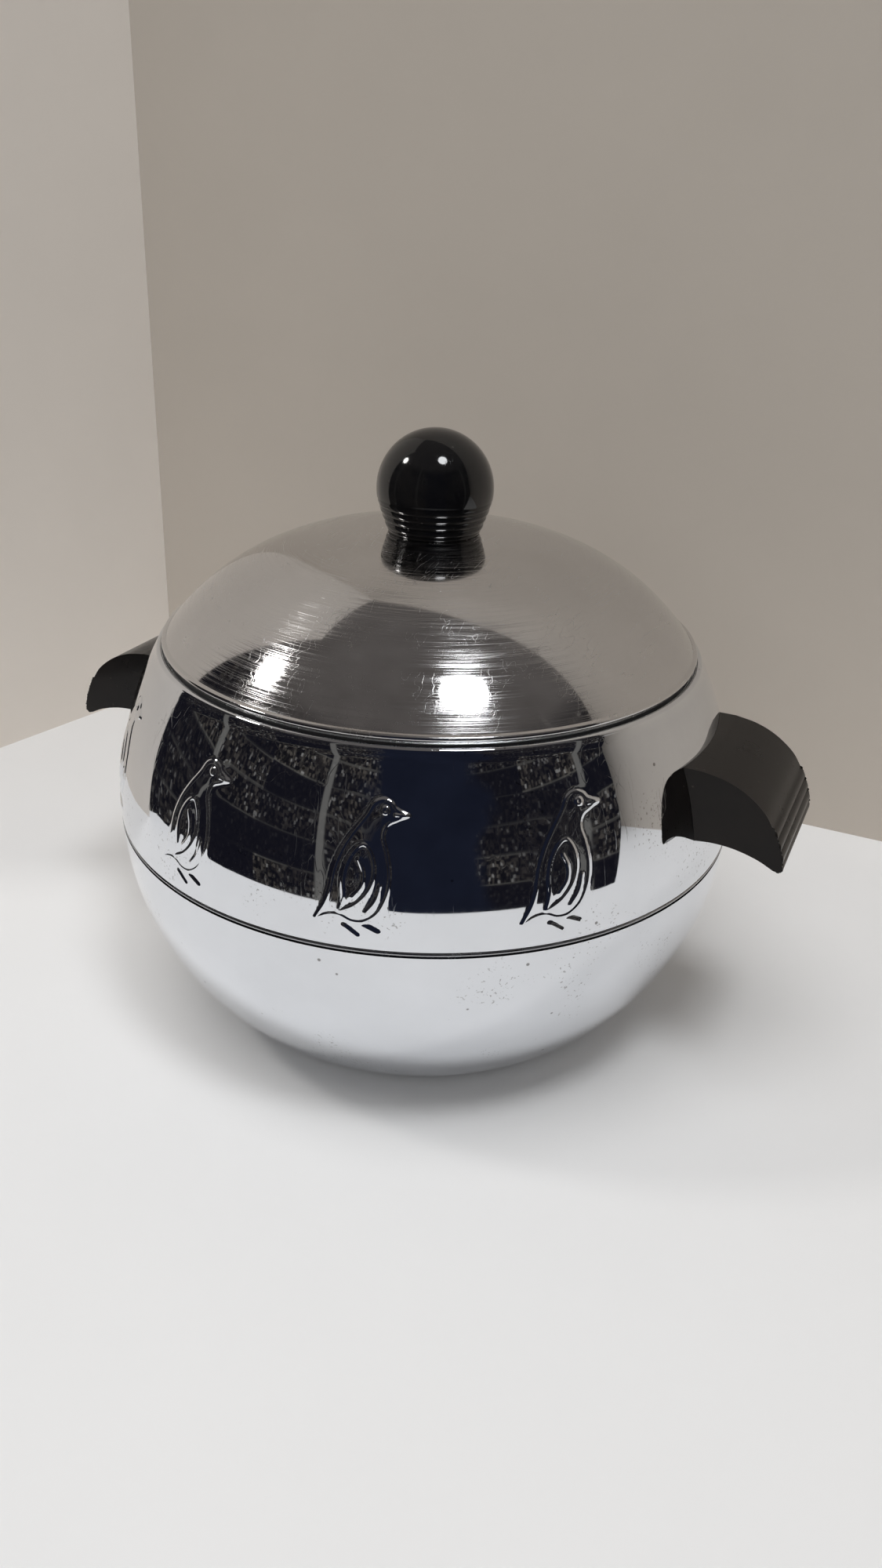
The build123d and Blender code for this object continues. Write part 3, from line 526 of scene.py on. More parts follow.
def fibre(name, light, dark, scale):
    """Matted fibres or pressed cork, for the filling between the walls."""
    look, tree, shader = new_look(name, Sheen_Weight=0.2)
    mat = noise(tree, turned_place(tree, (30, 20, 15), (1, 0.3, 1)), scale, detail=6.0, roughness=0.7)
    colour = mix_colour(tree, remap(tree, mat, 0.35, 0.65), dark, light)
    dress(tree, shader, colour, remap(tree, mat, 0.3, 0.7, 0.8, 0.97), [(mat, 600 * MICRON)])
    return look


def rubber(name):
    """Dull black seal."""
    look, tree, shader = new_look(name, IOR=1.5)
    cloud = noise(tree, place(tree), scale=120.0, detail=4.0)
    grain = noise(tree, place(tree), scale=2000.0, detail=2.0)
    colour = mix_colour(tree, cloud, RUBBER_BLACK, RUBBER_BLOOM)
    dress(tree, shader, colour, remap(tree, cloud, 0.3, 0.7, 0.55, 0.75), [(grain, 20 * MICRON)])
    return look


LOOKS = {
    "chrome_body": chrome("body_chrome", CHROME_TINT, haze=0.022),
    "chrome_band": chrome("band_chrome", BAND_TINT, haze=0.16, pits=False),
    "chrome_lid": polished_lid("lid_chrome"),
    "liner_metal": spun_metal("liner_metal", LINER_TINT, rough=0.22, ring_scale=1300.0),
    "pan_metal": spun_metal("pan_metal", PAN_TINT, rough=0.18, ring_scale=1600.0),
    "handle_plastic": satin_plastic("handle_plastic"),
    "knob_plastic": gloss_plastic("knob_plastic"),
    "seal_rubber": rubber("seal_rubber"),
    "insulation_wool": fibre("insulation_wool", WOOL_LIGHT, WOOL_DARK, scale=700.0),
    "cork_pad": fibre("cork_pad", CORK_LIGHT, CORK_DARK, scale=900.0),
    "fastener_steel": dull_metal("fastener_steel", STEEL_TINT, rough=0.28),
    "insert_brass": dull_metal("insert_brass", BRASS_TINT, rough=0.25),
}
for part in frame["record"]["subparts"]:
    shown = frame["nodes"][part["node"]]
    shown.data.materials.clear()
    shown.data.materials.append(LOOKS[part["material_slot"]])

# ======================================== lower shell and seam band
lower_outline = [(bowl_radius(h), h) for h in spread(SEAM_HEIGHT - SHELL_GAP, CORNER_HEIGHT, 64)]
corner_start = lower_outline[-1]
lower_outline += bowed(corner_start, (FOOT_OUTER, foot_low), -CORNER_BOW, 7)[1:]
recess_start = (FOOT_INNER - RECESS_SLOPE, BASE_RECESS)
lower_outline += bowed((FOOT_OUTER, foot_low), (FOOT_INNER, foot_low), 0, 3)[1:]
lower_outline += bowed((FOOT_INNER, foot_low), recess_start, 0, 5)[1:]
lower_outline += bowed(recess_start, (0, BASE_RECESS), 0, 8)[1:]
lower_outline += bowed((0, BASE_RECESS + WALL), (recess_start[0], BASE_RECESS + WALL), 0, 5)
lower_outline += [(FOOT_INNER, WALL), (FOOT_OUTER, WALL)]
lower_outline += [
    (bowl_radius(h, WALL), h) for h in spread(CORNER_HEIGHT + WALL, SEAM_HEIGHT - SHELL_GAP, 24)
]
new_piece(
    "lower_shell_skin", *lathe(lower_outline, FINE_LATHE_STEPS),
    "bucket", ["lower_shell"], "chrome_body",
)

rib_edge = BODY_RADIUS - RIB_BOW
rib_low, rib_high = SEAM_HEIGHT - RIB_HALF, SEAM_HEIGHT + RIB_HALF
band_outline = [(BAND_FLANGE_OUT, band_low.z), (BAND_FLANGE_OUT, rib_low)]
band_outline += bowed((rib_edge, rib_low), (rib_edge, rib_high), -RIB_BOW, 9)
band_outline += [(BAND_FLANGE_OUT, rib_high), (BAND_FLANGE_OUT, band_high.z)]
band_outline += [(BAND_FLANGE_IN, band_high.z), (BAND_FLANGE_IN, band_low.z)]
new_piece("seam_band_ring", *lathe(band_outline, FINE_LATHE_STEPS), "bucket", ["seam_band"], "chrome_band")

# ======================================== upper shell with its embossed birds
# A generic standing bird facing right: (across, up) in millimetres from the middle of its place and from the
# seam, measured along the sheet. Two curves meet at the beak's tip and the tail's tip.
BIRD_BACK = (
    (12.0, 40.0), (8.6, 41.4), (7.0, 43.0), (4.5, 43.8), (2.0, 42.6), (0.2, 39.4),
    (-2.9, 35.0), (-5.8, 30.0), (-7.8, 24.2), (-8.7, 18.2), (-10.0, 13.4), (-12.6, 8.4),
)
BIRD_FRONT = (
    (-12.6, 8.4), (-9.2, 10.2), (-6.0, 10.6), (-2.4, 9.2), (1.2, 9.6), (4.8, 12.6), (6.9, 17.8),
    (7.4, 23.8), (6.4, 29.6), (5.2, 34.0), (6.2, 37.2), (8.8, 38.7), (12.0, 40.0),
)
WING = (
    (-5.8, 11.8), (-1.6, 14.2), (1.9, 18.4), (3.3, 23.4), (2.6, 28.2), (0.4, 31.4),
    (-2.2, 30.0), (-4.4, 26.0), (-5.2, 21.2), (-4.9, 16.2), (-5.8, 11.8),
)
STROKES = (
    ((-1.0, 27.4), (0.4, 24.0), (0.2, 20.0), (-2.2, 16.4)),
    ((5.0, 20.6), (4.0, 16.0), (1.4, 12.2)),
    ((11.0, 39.9), (8.4, 40.0)),
)
FOOT_LINES = (((-4.4, 7.2), (-0.8, 4.6)), ((0.8, 8.0), (4.6, 6.2)))
EYE_PLACE = (5.4, 41.0)
EYE_RADIUS = 0.75
BODY_LIFT = 0.20
WING_LIFT = 0.10
LINE_LIFT = 0.34
LINE_WIDTH = 0.50
STROKE_WIDTH = 0.5
FOOT_WIDTH = 0.8
# soft swells of the body, head and wing: middle across and up, half sizes, lean in degrees, height
SWELLS = (
    (-0.6, 24.0, 6.2, 12.5, 12.0, 0.30),
    (5.2, 39.8, 3.0, 3.2, 20.0, 0.22),
    (-1.0, 22.0, 2.8, 7.6, 8.0, 0.12),
)
CURVE_STEPS = 8
EDGE_SOFT = 1.0
BIRD_HALF_WIDTH = 14.0
BIRD_LOW = 3.0
BIRD_HIGH = 45.5
BIRD_STEP = 0.54
REFINE_REACH = 0.6               # cells of the sheet this near a raised line are split in four
BIRD_AZIMUTHS = (-50.0, -17.7, 14.6, 46.9)      # degrees from the front, positive to the right
COARSE_STEP = 3.0
MAPPING_RADIUS = 100.0           # radius on which "across" is measured, millimetres
FAR_AWAY = 1e9
TINY = 1e-12


def distance_to_line(points, line):
    """Least distance of each point to a polyline."""
    best = np.full(len(points), FAR_AWAY)
    for a, b in zip(line[:-1], line[1:]):
        a, b = np.array(a), np.array(b)
        run = b - a
        share = np.clip((points - a) @ run / max(run @ run, TINY), 0, 1)
        best = np.minimum(best, np.hypot(*(points - a - share[:, None] * run).T))
    return best


def inside_share(points, line, soft):
    """How far inside a closed outline each point is: 0 outside, 1 once it is soft deep."""
    reach = distance_to_line(points, line)
    inside = np.zeros(len(points), dtype=bool)
    for (ax, ay), (bx, by) in zip(line[:-1], line[1:]):
        crosses = (ay > points[:, 1]) != (by > points[:, 1])
        if ay != by:
            inside ^= crosses & (points[:, 0] < (bx - ax) * (points[:, 1] - ay) / (by - ay) + ax)
    share = np.clip(np.where(inside, reach, 0) / soft, 0, 1)
    return share * share * (3 - 2 * share), reach


def bird_relief(points):
    """Height of the embossing, and distance to its nearest line, at points (across, up) in millimetres."""
    body = smooth_curve(BIRD_BACK, CURVE_STEPS)[:-1] + smooth_curve(BIRD_FRONT, CURVE_STEPS)
    in_body, body_reach = inside_share(points, body, EDGE_SOFT)
    in_wing, wing_reach = inside_share(points, smooth_curve(WING, CURVE_STEPS), EDGE_SOFT)
    outlines = np.minimum(body_reach, wing_reach)
    eye = np.abs(np.hypot(points[:, 0] - EYE_PLACE[0], points[:, 1] - EYE_PLACE[1]) - EYE_RADIUS)
    lines = [(outlines, LINE_WIDTH), (eye, LINE_WIDTH)]
    lines += [(distance_to_line(points, smooth_curve(c, CURVE_STEPS)), STROKE_WIDTH) for c in STROKES]
    lines += [(distance_to_line(points, line), FOOT_WIDTH) for line in FOOT_LINES]
    height = BODY_LIFT * in_body + WING_LIFT * in_wing
    nearest = outlines
    for reach, width in lines:
        height += LINE_LIFT * np.exp(-((reach / width) ** 2))
        nearest = np.minimum(nearest, reach)
    for across, up, half_across, half_up, lean, swell in SWELLS:
        turn = math.radians(lean)
        dx, dy = points[:, 0] - across, points[:, 1] - up
        along = dx * math.sin(turn) + dy * math.cos(turn)
        aside = dx * math.cos(turn) - dy * math.sin(turn)
        height += swell * np.exp(-((aside / half_across) ** 2) - (along / half_up) ** 2)
    return height, nearest


def fine_and_coarse(fine_spans, fine_step, coarse_step, start, end):
    """Sorted stations from start to end: fine steps in the fine spans, about coarse steps between them."""
    stations, here = [], start
    for low, high in [*fine_spans, (end, end)]:
        gap = max(1, math.ceil((low - here) / coarse_step - 1e-9))
        stations += spread(here, low, gap + 1)[:-1] if low > here else []
        fine = round((high - low) / fine_step)
        stations += spread(low, high, fine + 1)[:-1] if fine else []
        here = high
    return stations + [end]


def shell_point(across, up, lift):
    """Point of the upper shell at a place on the sheet, in millimetres, lifted along its normal."""
    tilt = up * MM / SHOULDER_ARC
    azimuth = across / MAPPING_RADIUS
    radius = BODY_RADIUS - SHOULDER_ARC + (SHOULDER_ARC + lift * MM) * np.cos(tilt)
    height = SEAM_HEIGHT + (SHOULDER_ARC + lift * MM) * np.sin(tilt)
    return np.stack([radius * np.sin(azimuth), -radius * np.cos(azimuth), height], -1)


def embossed_sheet():
    """Vertices, faces, and the lower and upper edge loops of the shell's outer face with eight birds."""
    round_trip = 2 * math.pi * MAPPING_RADIUS
    azimuths = [azimuth + half for azimuth in BIRD_AZIMUTHS for half in (0.0, 180.0)]
    centres = sorted(math.radians(azimuth) * MAPPING_RADIUS for azimuth in azimuths)
    spans = [(c - BIRD_HALF_WIDTH, c + BIRD_HALF_WIDTH) for c in centres]
    start = spans[0][0]
    columns = fine_and_coarse(spans, BIRD_STEP, COARSE_STEP, start, start + round_trip)[:-1]
    low = math.asin(SHELL_GAP / SHOULDER_ARC) * SHOULDER_ARC / MM
    high = math.asin((bead_height - SEAM_HEIGHT) / SHOULDER_ARC) * SHOULDER_ARC / MM
    rows = fine_and_coarse([(BIRD_LOW, BIRD_HIGH)], BIRD_STEP, COARSE_STEP, low, high)
    n_columns, n_rows = len(columns), len(rows)
    middles = np.array(centres)

    def local(across, up):
        nearest = np.abs(across[:, None] - middles[None, :]).argmin(1)
        return np.stack([across - middles[nearest], up], -1)

    grid = np.stack(np.meshgrid(columns, rows, indexing="ij"), -1).reshape(-1, 2)
    sheet = [tuple(p) for p in grid]
    _, reach = bird_relief(local(grid[:, 0], grid[:, 1]))
    near = (reach < REFINE_REACH).reshape(n_columns, n_rows)
    extra = {}

    def between(a, b):
        """Index of the point halfway along an edge of the grid."""
        key = (min(a, b), max(a, b))
        if key not in extra:
            pa, pb = sheet[a], sheet[b]
            gap = pb[0] - pa[0]
            wrapped = gap - round_trip * round(gap / round_trip)
            extra[key] = len(sheet)
            sheet.append((pa[0] + wrapped / 2, (pa[1] + pb[1]) / 2))
        return extra[key]

    split, plain = [], []
    for i in range(n_columns):
        j = (i + 1) % n_columns
        for k in range(n_rows - 1):
            corners = (i * n_rows + k, j * n_rows + k, j * n_rows + k + 1, i * n_rows + k + 1)
            busy = near[i, k] or near[j, k] or near[i, k + 1] or near[j, k + 1]
            (split if busy else plain).append(corners)
    faces = []
    for corners in split:
        sides = [between(a, b) for a, b in zip(corners, corners[1:] + corners[:1])]
        first, third = sheet[corners[0]], sheet[corners[2]]
        centre = len(sheet)
        sheet.append(((first[0] + third[0]) / 2, (first[1] + third[1]) / 2))
        for n, corner in enumerate(corners):
            faces.append((corner, sides[n], centre, sides[n - 1]))
    for corners in plain:
        outline = []
        for a, b in zip(corners, corners[1:] + corners[:1]):
            outline.append(a)
            key = (min(a, b), max(a, b))
            if key in extra:
                outline.append(extra[key])
        faces.append(tuple(outline))
    sheet = np.array(sheet)
    lift, _ = bird_relief(local(sheet[:, 0], sheet[:, 1]))
    vertices = [tuple(p) for p in shell_point(sheet[:, 0], sheet[:, 1], lift)]
    bottom = [i * n_rows for i in range(n_columns)]
    top = [i * n_rows + n_rows - 1 for i in range(n_columns)]
    return vertices, faces, bottom, top


def close_sheet(vertices, faces, bottom, top, rim_profile):
    """Adds the turned back of the sheet: rings from its top edge round to its bottom edge."""
    azimuths = [math.atan2(vertices[i][1], vertices[i][0]) for i in bottom]
    previous = top
    for radius, height in rim_profile:
        ring = list(range(len(vertices), len(vertices) + len(azimuths)))
        vertices += [(radius * math.cos(a), radius * math.sin(a), height) for a in azimuths]
        faces += [
            (previous[i], previous[(i + 1) % len(ring)], ring[(i + 1) % len(ring)], ring[i])
            for i in range(len(ring))
        ]
        previous = ring
    faces += [
        (previous[i], previous[(i + 1) % len(bottom)], bottom[(i + 1) % len(bottom)], bottom[i])
        for i in range(len(bottom))
    ]


bead_height = shell_high.z - BEAD_RADIUS
bead_centre = (shoulder_radius(bead_height) - BEAD_RADIUS, bead_height)
flange_top = LINER_TOP - LINER_WALL - SEAL_THICKNESS
rim = arc(bead_centre, BEAD_RADIUS, 10, 160, 13)
rim += [(bead_centre[0] - BEAD_RADIUS, flange_top), (MOUTH_RADIUS, flange_top)]
rim += [(MOUTH_RADIUS, flange_top - FLANGE_WALL), (bead_centre[0] - WALL, flange_top - FLANGE_WALL)]
rim += [(shoulder_radius(h, WALL), h) for h in spread(bead_height - WALL, SEAM_HEIGHT + SHELL_GAP, 7)]
vertices, faces, bottom, top = embossed_sheet()
close_sheet(vertices, faces, bottom, top, rim)
new_piece("upper_shell_skin", vertices, faces, "bucket", ["upper_shell"], "chrome_body")

# ======================================== liner
def liner_corner(inset, count):
    """Rounded bottom corner of the liner as a quarter ellipse, moved outwards by inset."""
    wide = LINER_LOW_RADIUS + inset - LINER_FLOOR_RADIUS
    tall = LINER_LOW_HEIGHT - LINER_FLOOR_HEIGHT + inset
    turns = [math.radians(a) for a in spread(0, 90, count)]
    return [(LINER_FLOOR_RADIUS + wide * math.cos(t), LINER_LOW_HEIGHT - tall * math.sin(t)) for t in turns]


lip_centre = (LINER_MOUTH + LINER_LIP_ROUND, LINER_TOP - LINER_LIP_ROUND)
liner_outline = arc(lip_centre, LINER_LIP_ROUND, 90, 180, 7)
liner_outline += bowed(liner_outline[-1], (LINER_LOW_RADIUS, LINER_LOW_HEIGHT), 0, 24)[1:-1]
liner_outline += liner_corner(0, 24)
liner_outline += bowed((LINER_FLOOR_RADIUS, LINER_FLOOR_HEIGHT), (0, LINER_FLOOR_HEIGHT), 0, 12)[1:]
liner_outline += [(0, LINER_FLOOR_HEIGHT - LINER_WALL)]
liner_outline += liner_corner(LINER_WALL, 16)[::-1]
liner_outline += [(LINER_MOUTH + LINER_WALL, LINER_TOP - LINER_WALL - LINER_LIP_DROP)]
liner_outline += [(liner_high.y, LINER_TOP - LINER_WALL), (liner_high.y, LINER_TOP)]
new_piece("liner_bowl", *lathe(liner_outline, LATHE_STEPS), "bucket", ["inner_liner"], "liner_metal")

# ======================================== lid
hem_centre = (HEM_CENTRE, LID_SEAT + HEM_RADIUS)
lid_outline = [dome_point(r) for r in spread(SCREW_HOLE, CROWN_RADIUS, 20)]
lid_outline += [dome_point(r) for r in spread(CROWN_RADIUS, LID_EDGE - LID_EDGE_TRIM, 56)[1:]]
lid_outline += arc(hem_centre, HEM_RADIUS, 62, -90, 17)
lid_outline += [(LIP_INNER, LID_SEAT), (LIP_INNER, LID_SEAT + LIP_WALL)]
lid_outline += [dome_point(r, LID_WALL) for r in spread(LID_EDGE - LID_BACK_TRIM, SCREW_HOLE, 24)]
new_piece("lid_dome", *lathe(lid_outline, FINE_LATHE_STEPS), "lid", ["lid_shell"], "chrome_lid")

pan_seat = LID_SEAT + LIP_WALL
corner_centre = (PLUG_RADIUS - PLUG_CORNER, pan_low.z + PLUG_CORNER)
pan_outline = [(0, pan_low.z)] + arc(corner_centre, PLUG_CORNER, -90, 0, 12)
pan_outline += [(PLUG_RADIUS, pan_seat), (pan_high.y, pan_seat), (pan_high.y, pan_high.z)]
pan_outline += [(PLUG_RADIUS - PAN_WALL, pan_high.z)]
pan_outline += arc(corner_centre, PLUG_CORNER - PAN_WALL, 0, -90, 8) + [(0, pan_low.z + PAN_WALL)]
new_piece("lid_plug", *lathe(pan_outline, LATHE_STEPS), "lid", ["lid_pan"], "pan_metal")

# ======================================== knob
ball_radius = knob_high.x
ball_height = knob_high.z - ball_radius
step_angle = -math.degrees(math.asin(KNOB_STEP_DROP / ball_radius))
knob_outline = [(0, knob_high.z)] + arc((0, ball_height), ball_radius, KNOB_CROWN_DEG, step_angle, 64)
ring_top = ball_height - KNOB_STEP_DROP - KNOB_STEP_HEIGHT
for upper, lower in zip(KNOB_RING_RADII[:-1], KNOB_RING_RADII[1:]):
    knob_outline += bowed((upper, ring_top), (lower, ring_top - KNOB_RING_HEIGHT), KNOB_RING_BOW, 10)
    ring_top -= KNOB_RING_HEIGHT
foot_radius = KNOB_RING_RADII[-1] - KNOB_FOOT_ROUND
knob_outline += arc((foot_radius, ring_top), KNOB_FOOT_ROUND, 0, -90, 9)
knob_outline += [(foot_radius - KNOB_FOOT_INSET, knob_low.z), (KNOB_BORE, knob_low.z)]
knob_outline += [(KNOB_BORE, ball_height), (0, ball_height)]
new_piece("knob_ball", *lathe(knob_outline, KNOB_LATHE_STEPS), "lid", ["knob"], "knob_plastic")


# ======================================== handles
def handle_mesh(side):
    """One handle: its side outline swept across its width, with a root that follows the round shell."""
    outline = smooth_curve(HANDLE_CREST, 7)
    for high, low in zip(HANDLE_STEPS[:-1], HANDLE_STEPS[1:]):
        outline += bowed(high, low, HANDLE_STEP_BOW, 8)[1:]
    outline += smooth_curve(HANDLE_CHIN, 5)[1:] + smooth_curve(HANDLE_UNDERSIDE, 7)[1:]
    outline = [(x * MM, z * MM) for x, z in outline]
    root = spread(outline[-1][1], outline[0][1], HANDLE_ROOT_POINTS)
    work = bmesh.new()
    loops = []
    inner = spread(handle_low.y + HANDLE_END_STRIP, handle_high.y - HANDLE_END_STRIP, HANDLE_STATIONS)
    for y in [handle_low.y, *inner, handle_high.y]:
        seat = [(math.sqrt((shoulder_radius(z) + HANDLE_SEAT_GAP) ** 2 - y * y), z) for z in root]
        loops.append([work.verts.new((side * x, y, z)) for x, z in outline + seat])
    count = len(loops[0])
    for near, far in zip(loops[:-1], loops[1:]):
        for i in range(count):
            j = (i + 1) % count
            work.faces.new((near[i], near[j], far[j], far[i]))
    work.faces.new(loops[0])
    work.faces.new(loops[-1])
    rounded = []
    for loop in (loops[0], loops[-1]):
        for a, b in zip(loop[: len(outline) - 1], loop[1 : len(outline)]):
            rounded.append(work.edges.get((a, b)))
    bmesh.ops.bevel(work, geom=rounded, offset=HANDLE_EDGE_ROUND, segments=3, profile=0.5, affect="EDGES")
    caps = [f for f in work.faces if len(f.verts) > count / 2]
    bmesh.ops.inset_individual(work, faces=caps, thickness=HANDLE_CAP_STRIP, use_even_offset=True)
    bmesh.ops.recalc_face_normals(work, faces=work.faces)
    mesh = bpy.data.meshes.new("handle_work")
    work.to_mesh(mesh)
    work.free()
    vertices = [tuple(v.co) for v in mesh.vertices]
    faces = [tuple(p.vertices) for p in mesh.polygons]
    bpy.data.meshes.remove(mesh)
    return vertices, faces


for side, word in ((-1, "left"), (1, "right")):
    new_piece("handle_grip_" + word, *handle_mesh(side), "bucket", ["handle_" + word], "handle_plastic")

# ======================================== studio
# The set turns with the camera: x to its right, y away from it, measured from the bucket's middle.
SET_TURN = math.radians(24.0)
CORNER = Vector((-0.142, 0.263))
RIGHT_RUN = Vector((0.91, -0.414)).normalized()
LEFT_RUN = Vector((-0.60, -0.80)).normalized()
TABLE_RADIUS = 0.355
TABLE_SWEEP = (math.radians(-96), math.radians(60))
# the near floor goes on out along the right wall, and behind both walls
NEAR_FLOOR_CORNERS = ((1.95, -0.69), (1.95, -0.60), (-0.149, 0.35), (-0.32, 0.06))
FLOOR_STEPS = 96
FLOOR_HOLE = 0.05
FAR_FLOOR = 2.6
COVE = 0.6
COVE_TURN = (0.15, math.pi / 2)
BACK_HEIGHT = 2.4
FLOOR_STEP = 0.0001              # the far floor lies this far below the near one
FLOOR_TINT = (0.80, 0.80, 0.80, 1)
WALL_TINT = (0.52, 0.47, 0.415, 1)
# painted light: the left wall's paint is made paler than the right wall's, for the stronger lamp light
# falling on it
LEFT_WALL_LIT_TINT = (0.80, 0.745, 0.685, 1)
# painted shade: the dark tone the walls shift towards at their top, and the height over which they shift,
# for light falling off with height
WALL_TOP_PAINTED_SHADE = (0.1, 0.095, 0.085, 1)
PAINTED_SHADE_HEIGHT = 0.75
# (distance from the corner, height) of each wall's top edge
RIGHT_WALL = ((0.0, 0.69), (0.3, 0.80), (2.3, 0.80))
LEFT_WALL = ((0.0, 0.69), (0.27, 0.66))


def on_set(x, y, z):
    """A place on the set, turned into the row frame."""
    c, s = math.cos(SET_TURN), math.sin(SET_TURN)
    return (x * c - y * s, x * s + y * c, z)


def studio_paint(name, tone, one_sided=False, fleck=0.04, painted_top_shade=0.0):
    """Matt paint with faint mottling; where asked, painted shade darkens it towards the top. A one-sided
    card is clear from behind.
    """
    look, tree, shader = new_look(name, Roughness=0.85, Specular_IOR_Level=0.25)
    mottle = noise(tree, place(tree), scale=5.0, detail=6.0, roughness=0.65)
    paler = [min(1.0, c * (1 + fleck)) for c in tone[:3]] + [1]
    darker = [c * (1 - fleck) for c in tone[:3]] + [1]
    colour = mix_colour(tree, remap(tree, mottle, 0.3, 0.7), darker, paler)
    # painted shade: the colour darkens with height towards a dark tone, standing for the lamps' light
    # falling off up the walls
    if painted_top_shade:
        rise = node(tree, "ShaderNodeSeparateXYZ", {0: place(tree)}).outputs[2]
        colour = mix_colour(tree, remap(tree, rise, 0.0, PAINTED_SHADE_HEIGHT, 0.0, painted_top_shade), colour, WALL_TOP_PAINTED_SHADE)
    tree.links.new(colour, shader.inputs["Base Color"])
    if one_sided:
        behind = node(tree, "ShaderNodeNewGeometry").outputs["Backfacing"]
        clear = node(tree, "ShaderNodeBsdfTransparent").outputs[0]
        choice = node(tree, "ShaderNodeMixShader", {0: behind, 1: shader.outputs[0], 2: clear}).outputs[0]
        output = next(n for n in tree.nodes if n.type == "OUTPUT_MATERIAL")
        tree.links.new(choice, output.inputs["Surface"])
    return look


def set_piece(name, vertices, faces, look, seen_in_gloss=True):
    """A floor or wall of the studio, not part of the bucket."""
    mesh = bpy.data.meshes.new(name)
    mesh.from_pydata(vertices, [], faces)
    mesh.materials.append(look)
    mesh.shade_smooth()
    piece = bpy.data.objects.new(name, mesh)
    bpy.context.scene.collection.objects.link(piece)
    piece.visible_glossy = seen_in_gloss
    return piece


def wall_card(name, run, stations, look):
    """An upright card from the corner along run, facing the bucket; stations are (distance, height)."""
    vertices, faces = [], []
    for distance, height in stations:
        x, y = CORNER + run * distance
        vertices += [on_set(x, y, 0), on_set(x, y, height)]
    for i in range(len(stations) - 1):
        a = 2 * i
        faces.append((a, a + 2, a + 3, a + 1))
    card = set_piece(name, vertices, faces, look)
    middle = card.data.polygons[0]
    if middle.normal.dot(middle.center) > 0:
        card.data.flip_normals()
    return card


floor_look = studio_paint("floor_paint", FLOOR_TINT, fleck=0.012)
near_edge = [
    on_set(TABLE_RADIUS * math.sin(t), -TABLE_RADIUS * math.cos(t), 0) for t in spread(*TABLE_SWEEP, 60)
]
near_edge += [on_set(x, y, 0) for x, y in NEAR_FLOOR_CORNERS]
set_piece("floor_near", near_edge, [tuple(range(len(near_edge)))], floor_look)
turns = [2 * math.pi * i / FLOOR_STEPS for i in range(FLOOR_STEPS)]
cove_start = FAR_FLOOR - COVE
sweep = [(FLOOR_HOLE, -FLOOR_STEP), (cove_start, -FLOOR_STEP)]
sweep += [(cove_start + COVE * math.sin(t), COVE - COVE * math.cos(t)) for t in spread(*COVE_TURN, 12)]
sweep += [(FAR_FLOOR, BACK_HEIGHT)]
vertices = [(math.cos(t) * r, math.sin(t) * r, z) for r, z in sweep for t in turns]
faces = []
for k in range(len(sweep) - 1):
    for i in range(FLOOR_STEPS):
        inner, outer, j = k * FLOOR_STEPS, (k + 1) * FLOOR_STEPS, (i + 1) % FLOOR_STEPS
        faces.append((inner + i, inner + j, outer + j, outer + i))
set_piece("floor_far", vertices, faces, floor_look, seen_in_gloss=False)

# both walls carry painted shade that darkens them towards their tops
wall_look = studio_paint("wall_paint", WALL_TINT, one_sided=True, fleck=0.03, painted_top_shade=0.55)
# the left wall's paler paint is painted light, for the lamp near it
left_wall_lit_look = studio_paint("left_wall_lit_paint", LEFT_WALL_LIT_TINT, one_sided=True, fleck=0.03, painted_top_shade=0.45)
wall_card("wall_right", RIGHT_RUN, RIGHT_WALL, wall_look)
wall_card("wall_left", LEFT_RUN, LEFT_WALL, left_wall_lit_look)


def disc_lamp(name, place_on_set, radius, watts, aim=(0, 0, 0.1), tint=(1, 1, 1), seen_in_gloss=True):
    """A round soft lamp that points at the bucket."""
    lamp = bpy.data.lights.new(name, "AREA")
    lamp.shape = "DISK"
    lamp.size = 2 * radius
    lamp.energy = watts
    lamp.color = tint
    holder = bpy.data.objects.new(name, lamp)
    holder.location = on_set(*place_on_set)
    towards = Vector(aim) - holder.location
    holder.rotation_euler = towards.to_track_quat("-Z", "Y").to_euler()
    holder.visible_glossy = seen_in_gloss
    bpy.context.scene.collection.objects.link(holder)
    return holder


disc_lamp("lamp_left", (-0.98, 0.02, 1.03), radius=0.10, watts=3.0, tint=(1.0, 0.98, 0.95))
disc_lamp("lamp_front", (0.27, -0.54, 1.45), radius=0.19, watts=5.8, tint=(0.96, 0.98, 1.0))
disc_lamp("fill_top", (-0.25, -0.45, 1.7), radius=0.6, watts=13.2, seen_in_gloss=False)
disc_lamp("fill_front", (-0.3, -1.7, 0.9), radius=0.7, watts=5.3, seen_in_gloss=False)


BAY_WIDTH = 0.42                 # of azimuth, radians
BAY_TURN = 0.1
BOARD_GAP = 0.085                # of slope, rise over run
LEAST_RUN = 0.15
GOODS_SCALE = (17, 10, 1)
GOODS_DARK = (0.005, 0.005, 0.007, 1)
GOODS_DULL = (0.10, 0.088, 0.075, 1)
GOODS_PALE = (0.26, 0.25, 0.235, 1)
BOARD_TINT = (0.10, 0.095, 0.085, 1)
POST_TINT = (0.15, 0.145, 0.135, 1)
EMPTY_BAY = (0.007, 0.007, 0.011, 1)
NAVY_DARK = (0.006, 0.007, 0.013, 1)
NAVY_LIGHT = (0.013, 0.016, 0.029, 1)
CEILING_DARK = (0.075, 0.068, 0.064, 1)
CEILING_LIGHT = (0.14, 0.13, 0.125, 1)


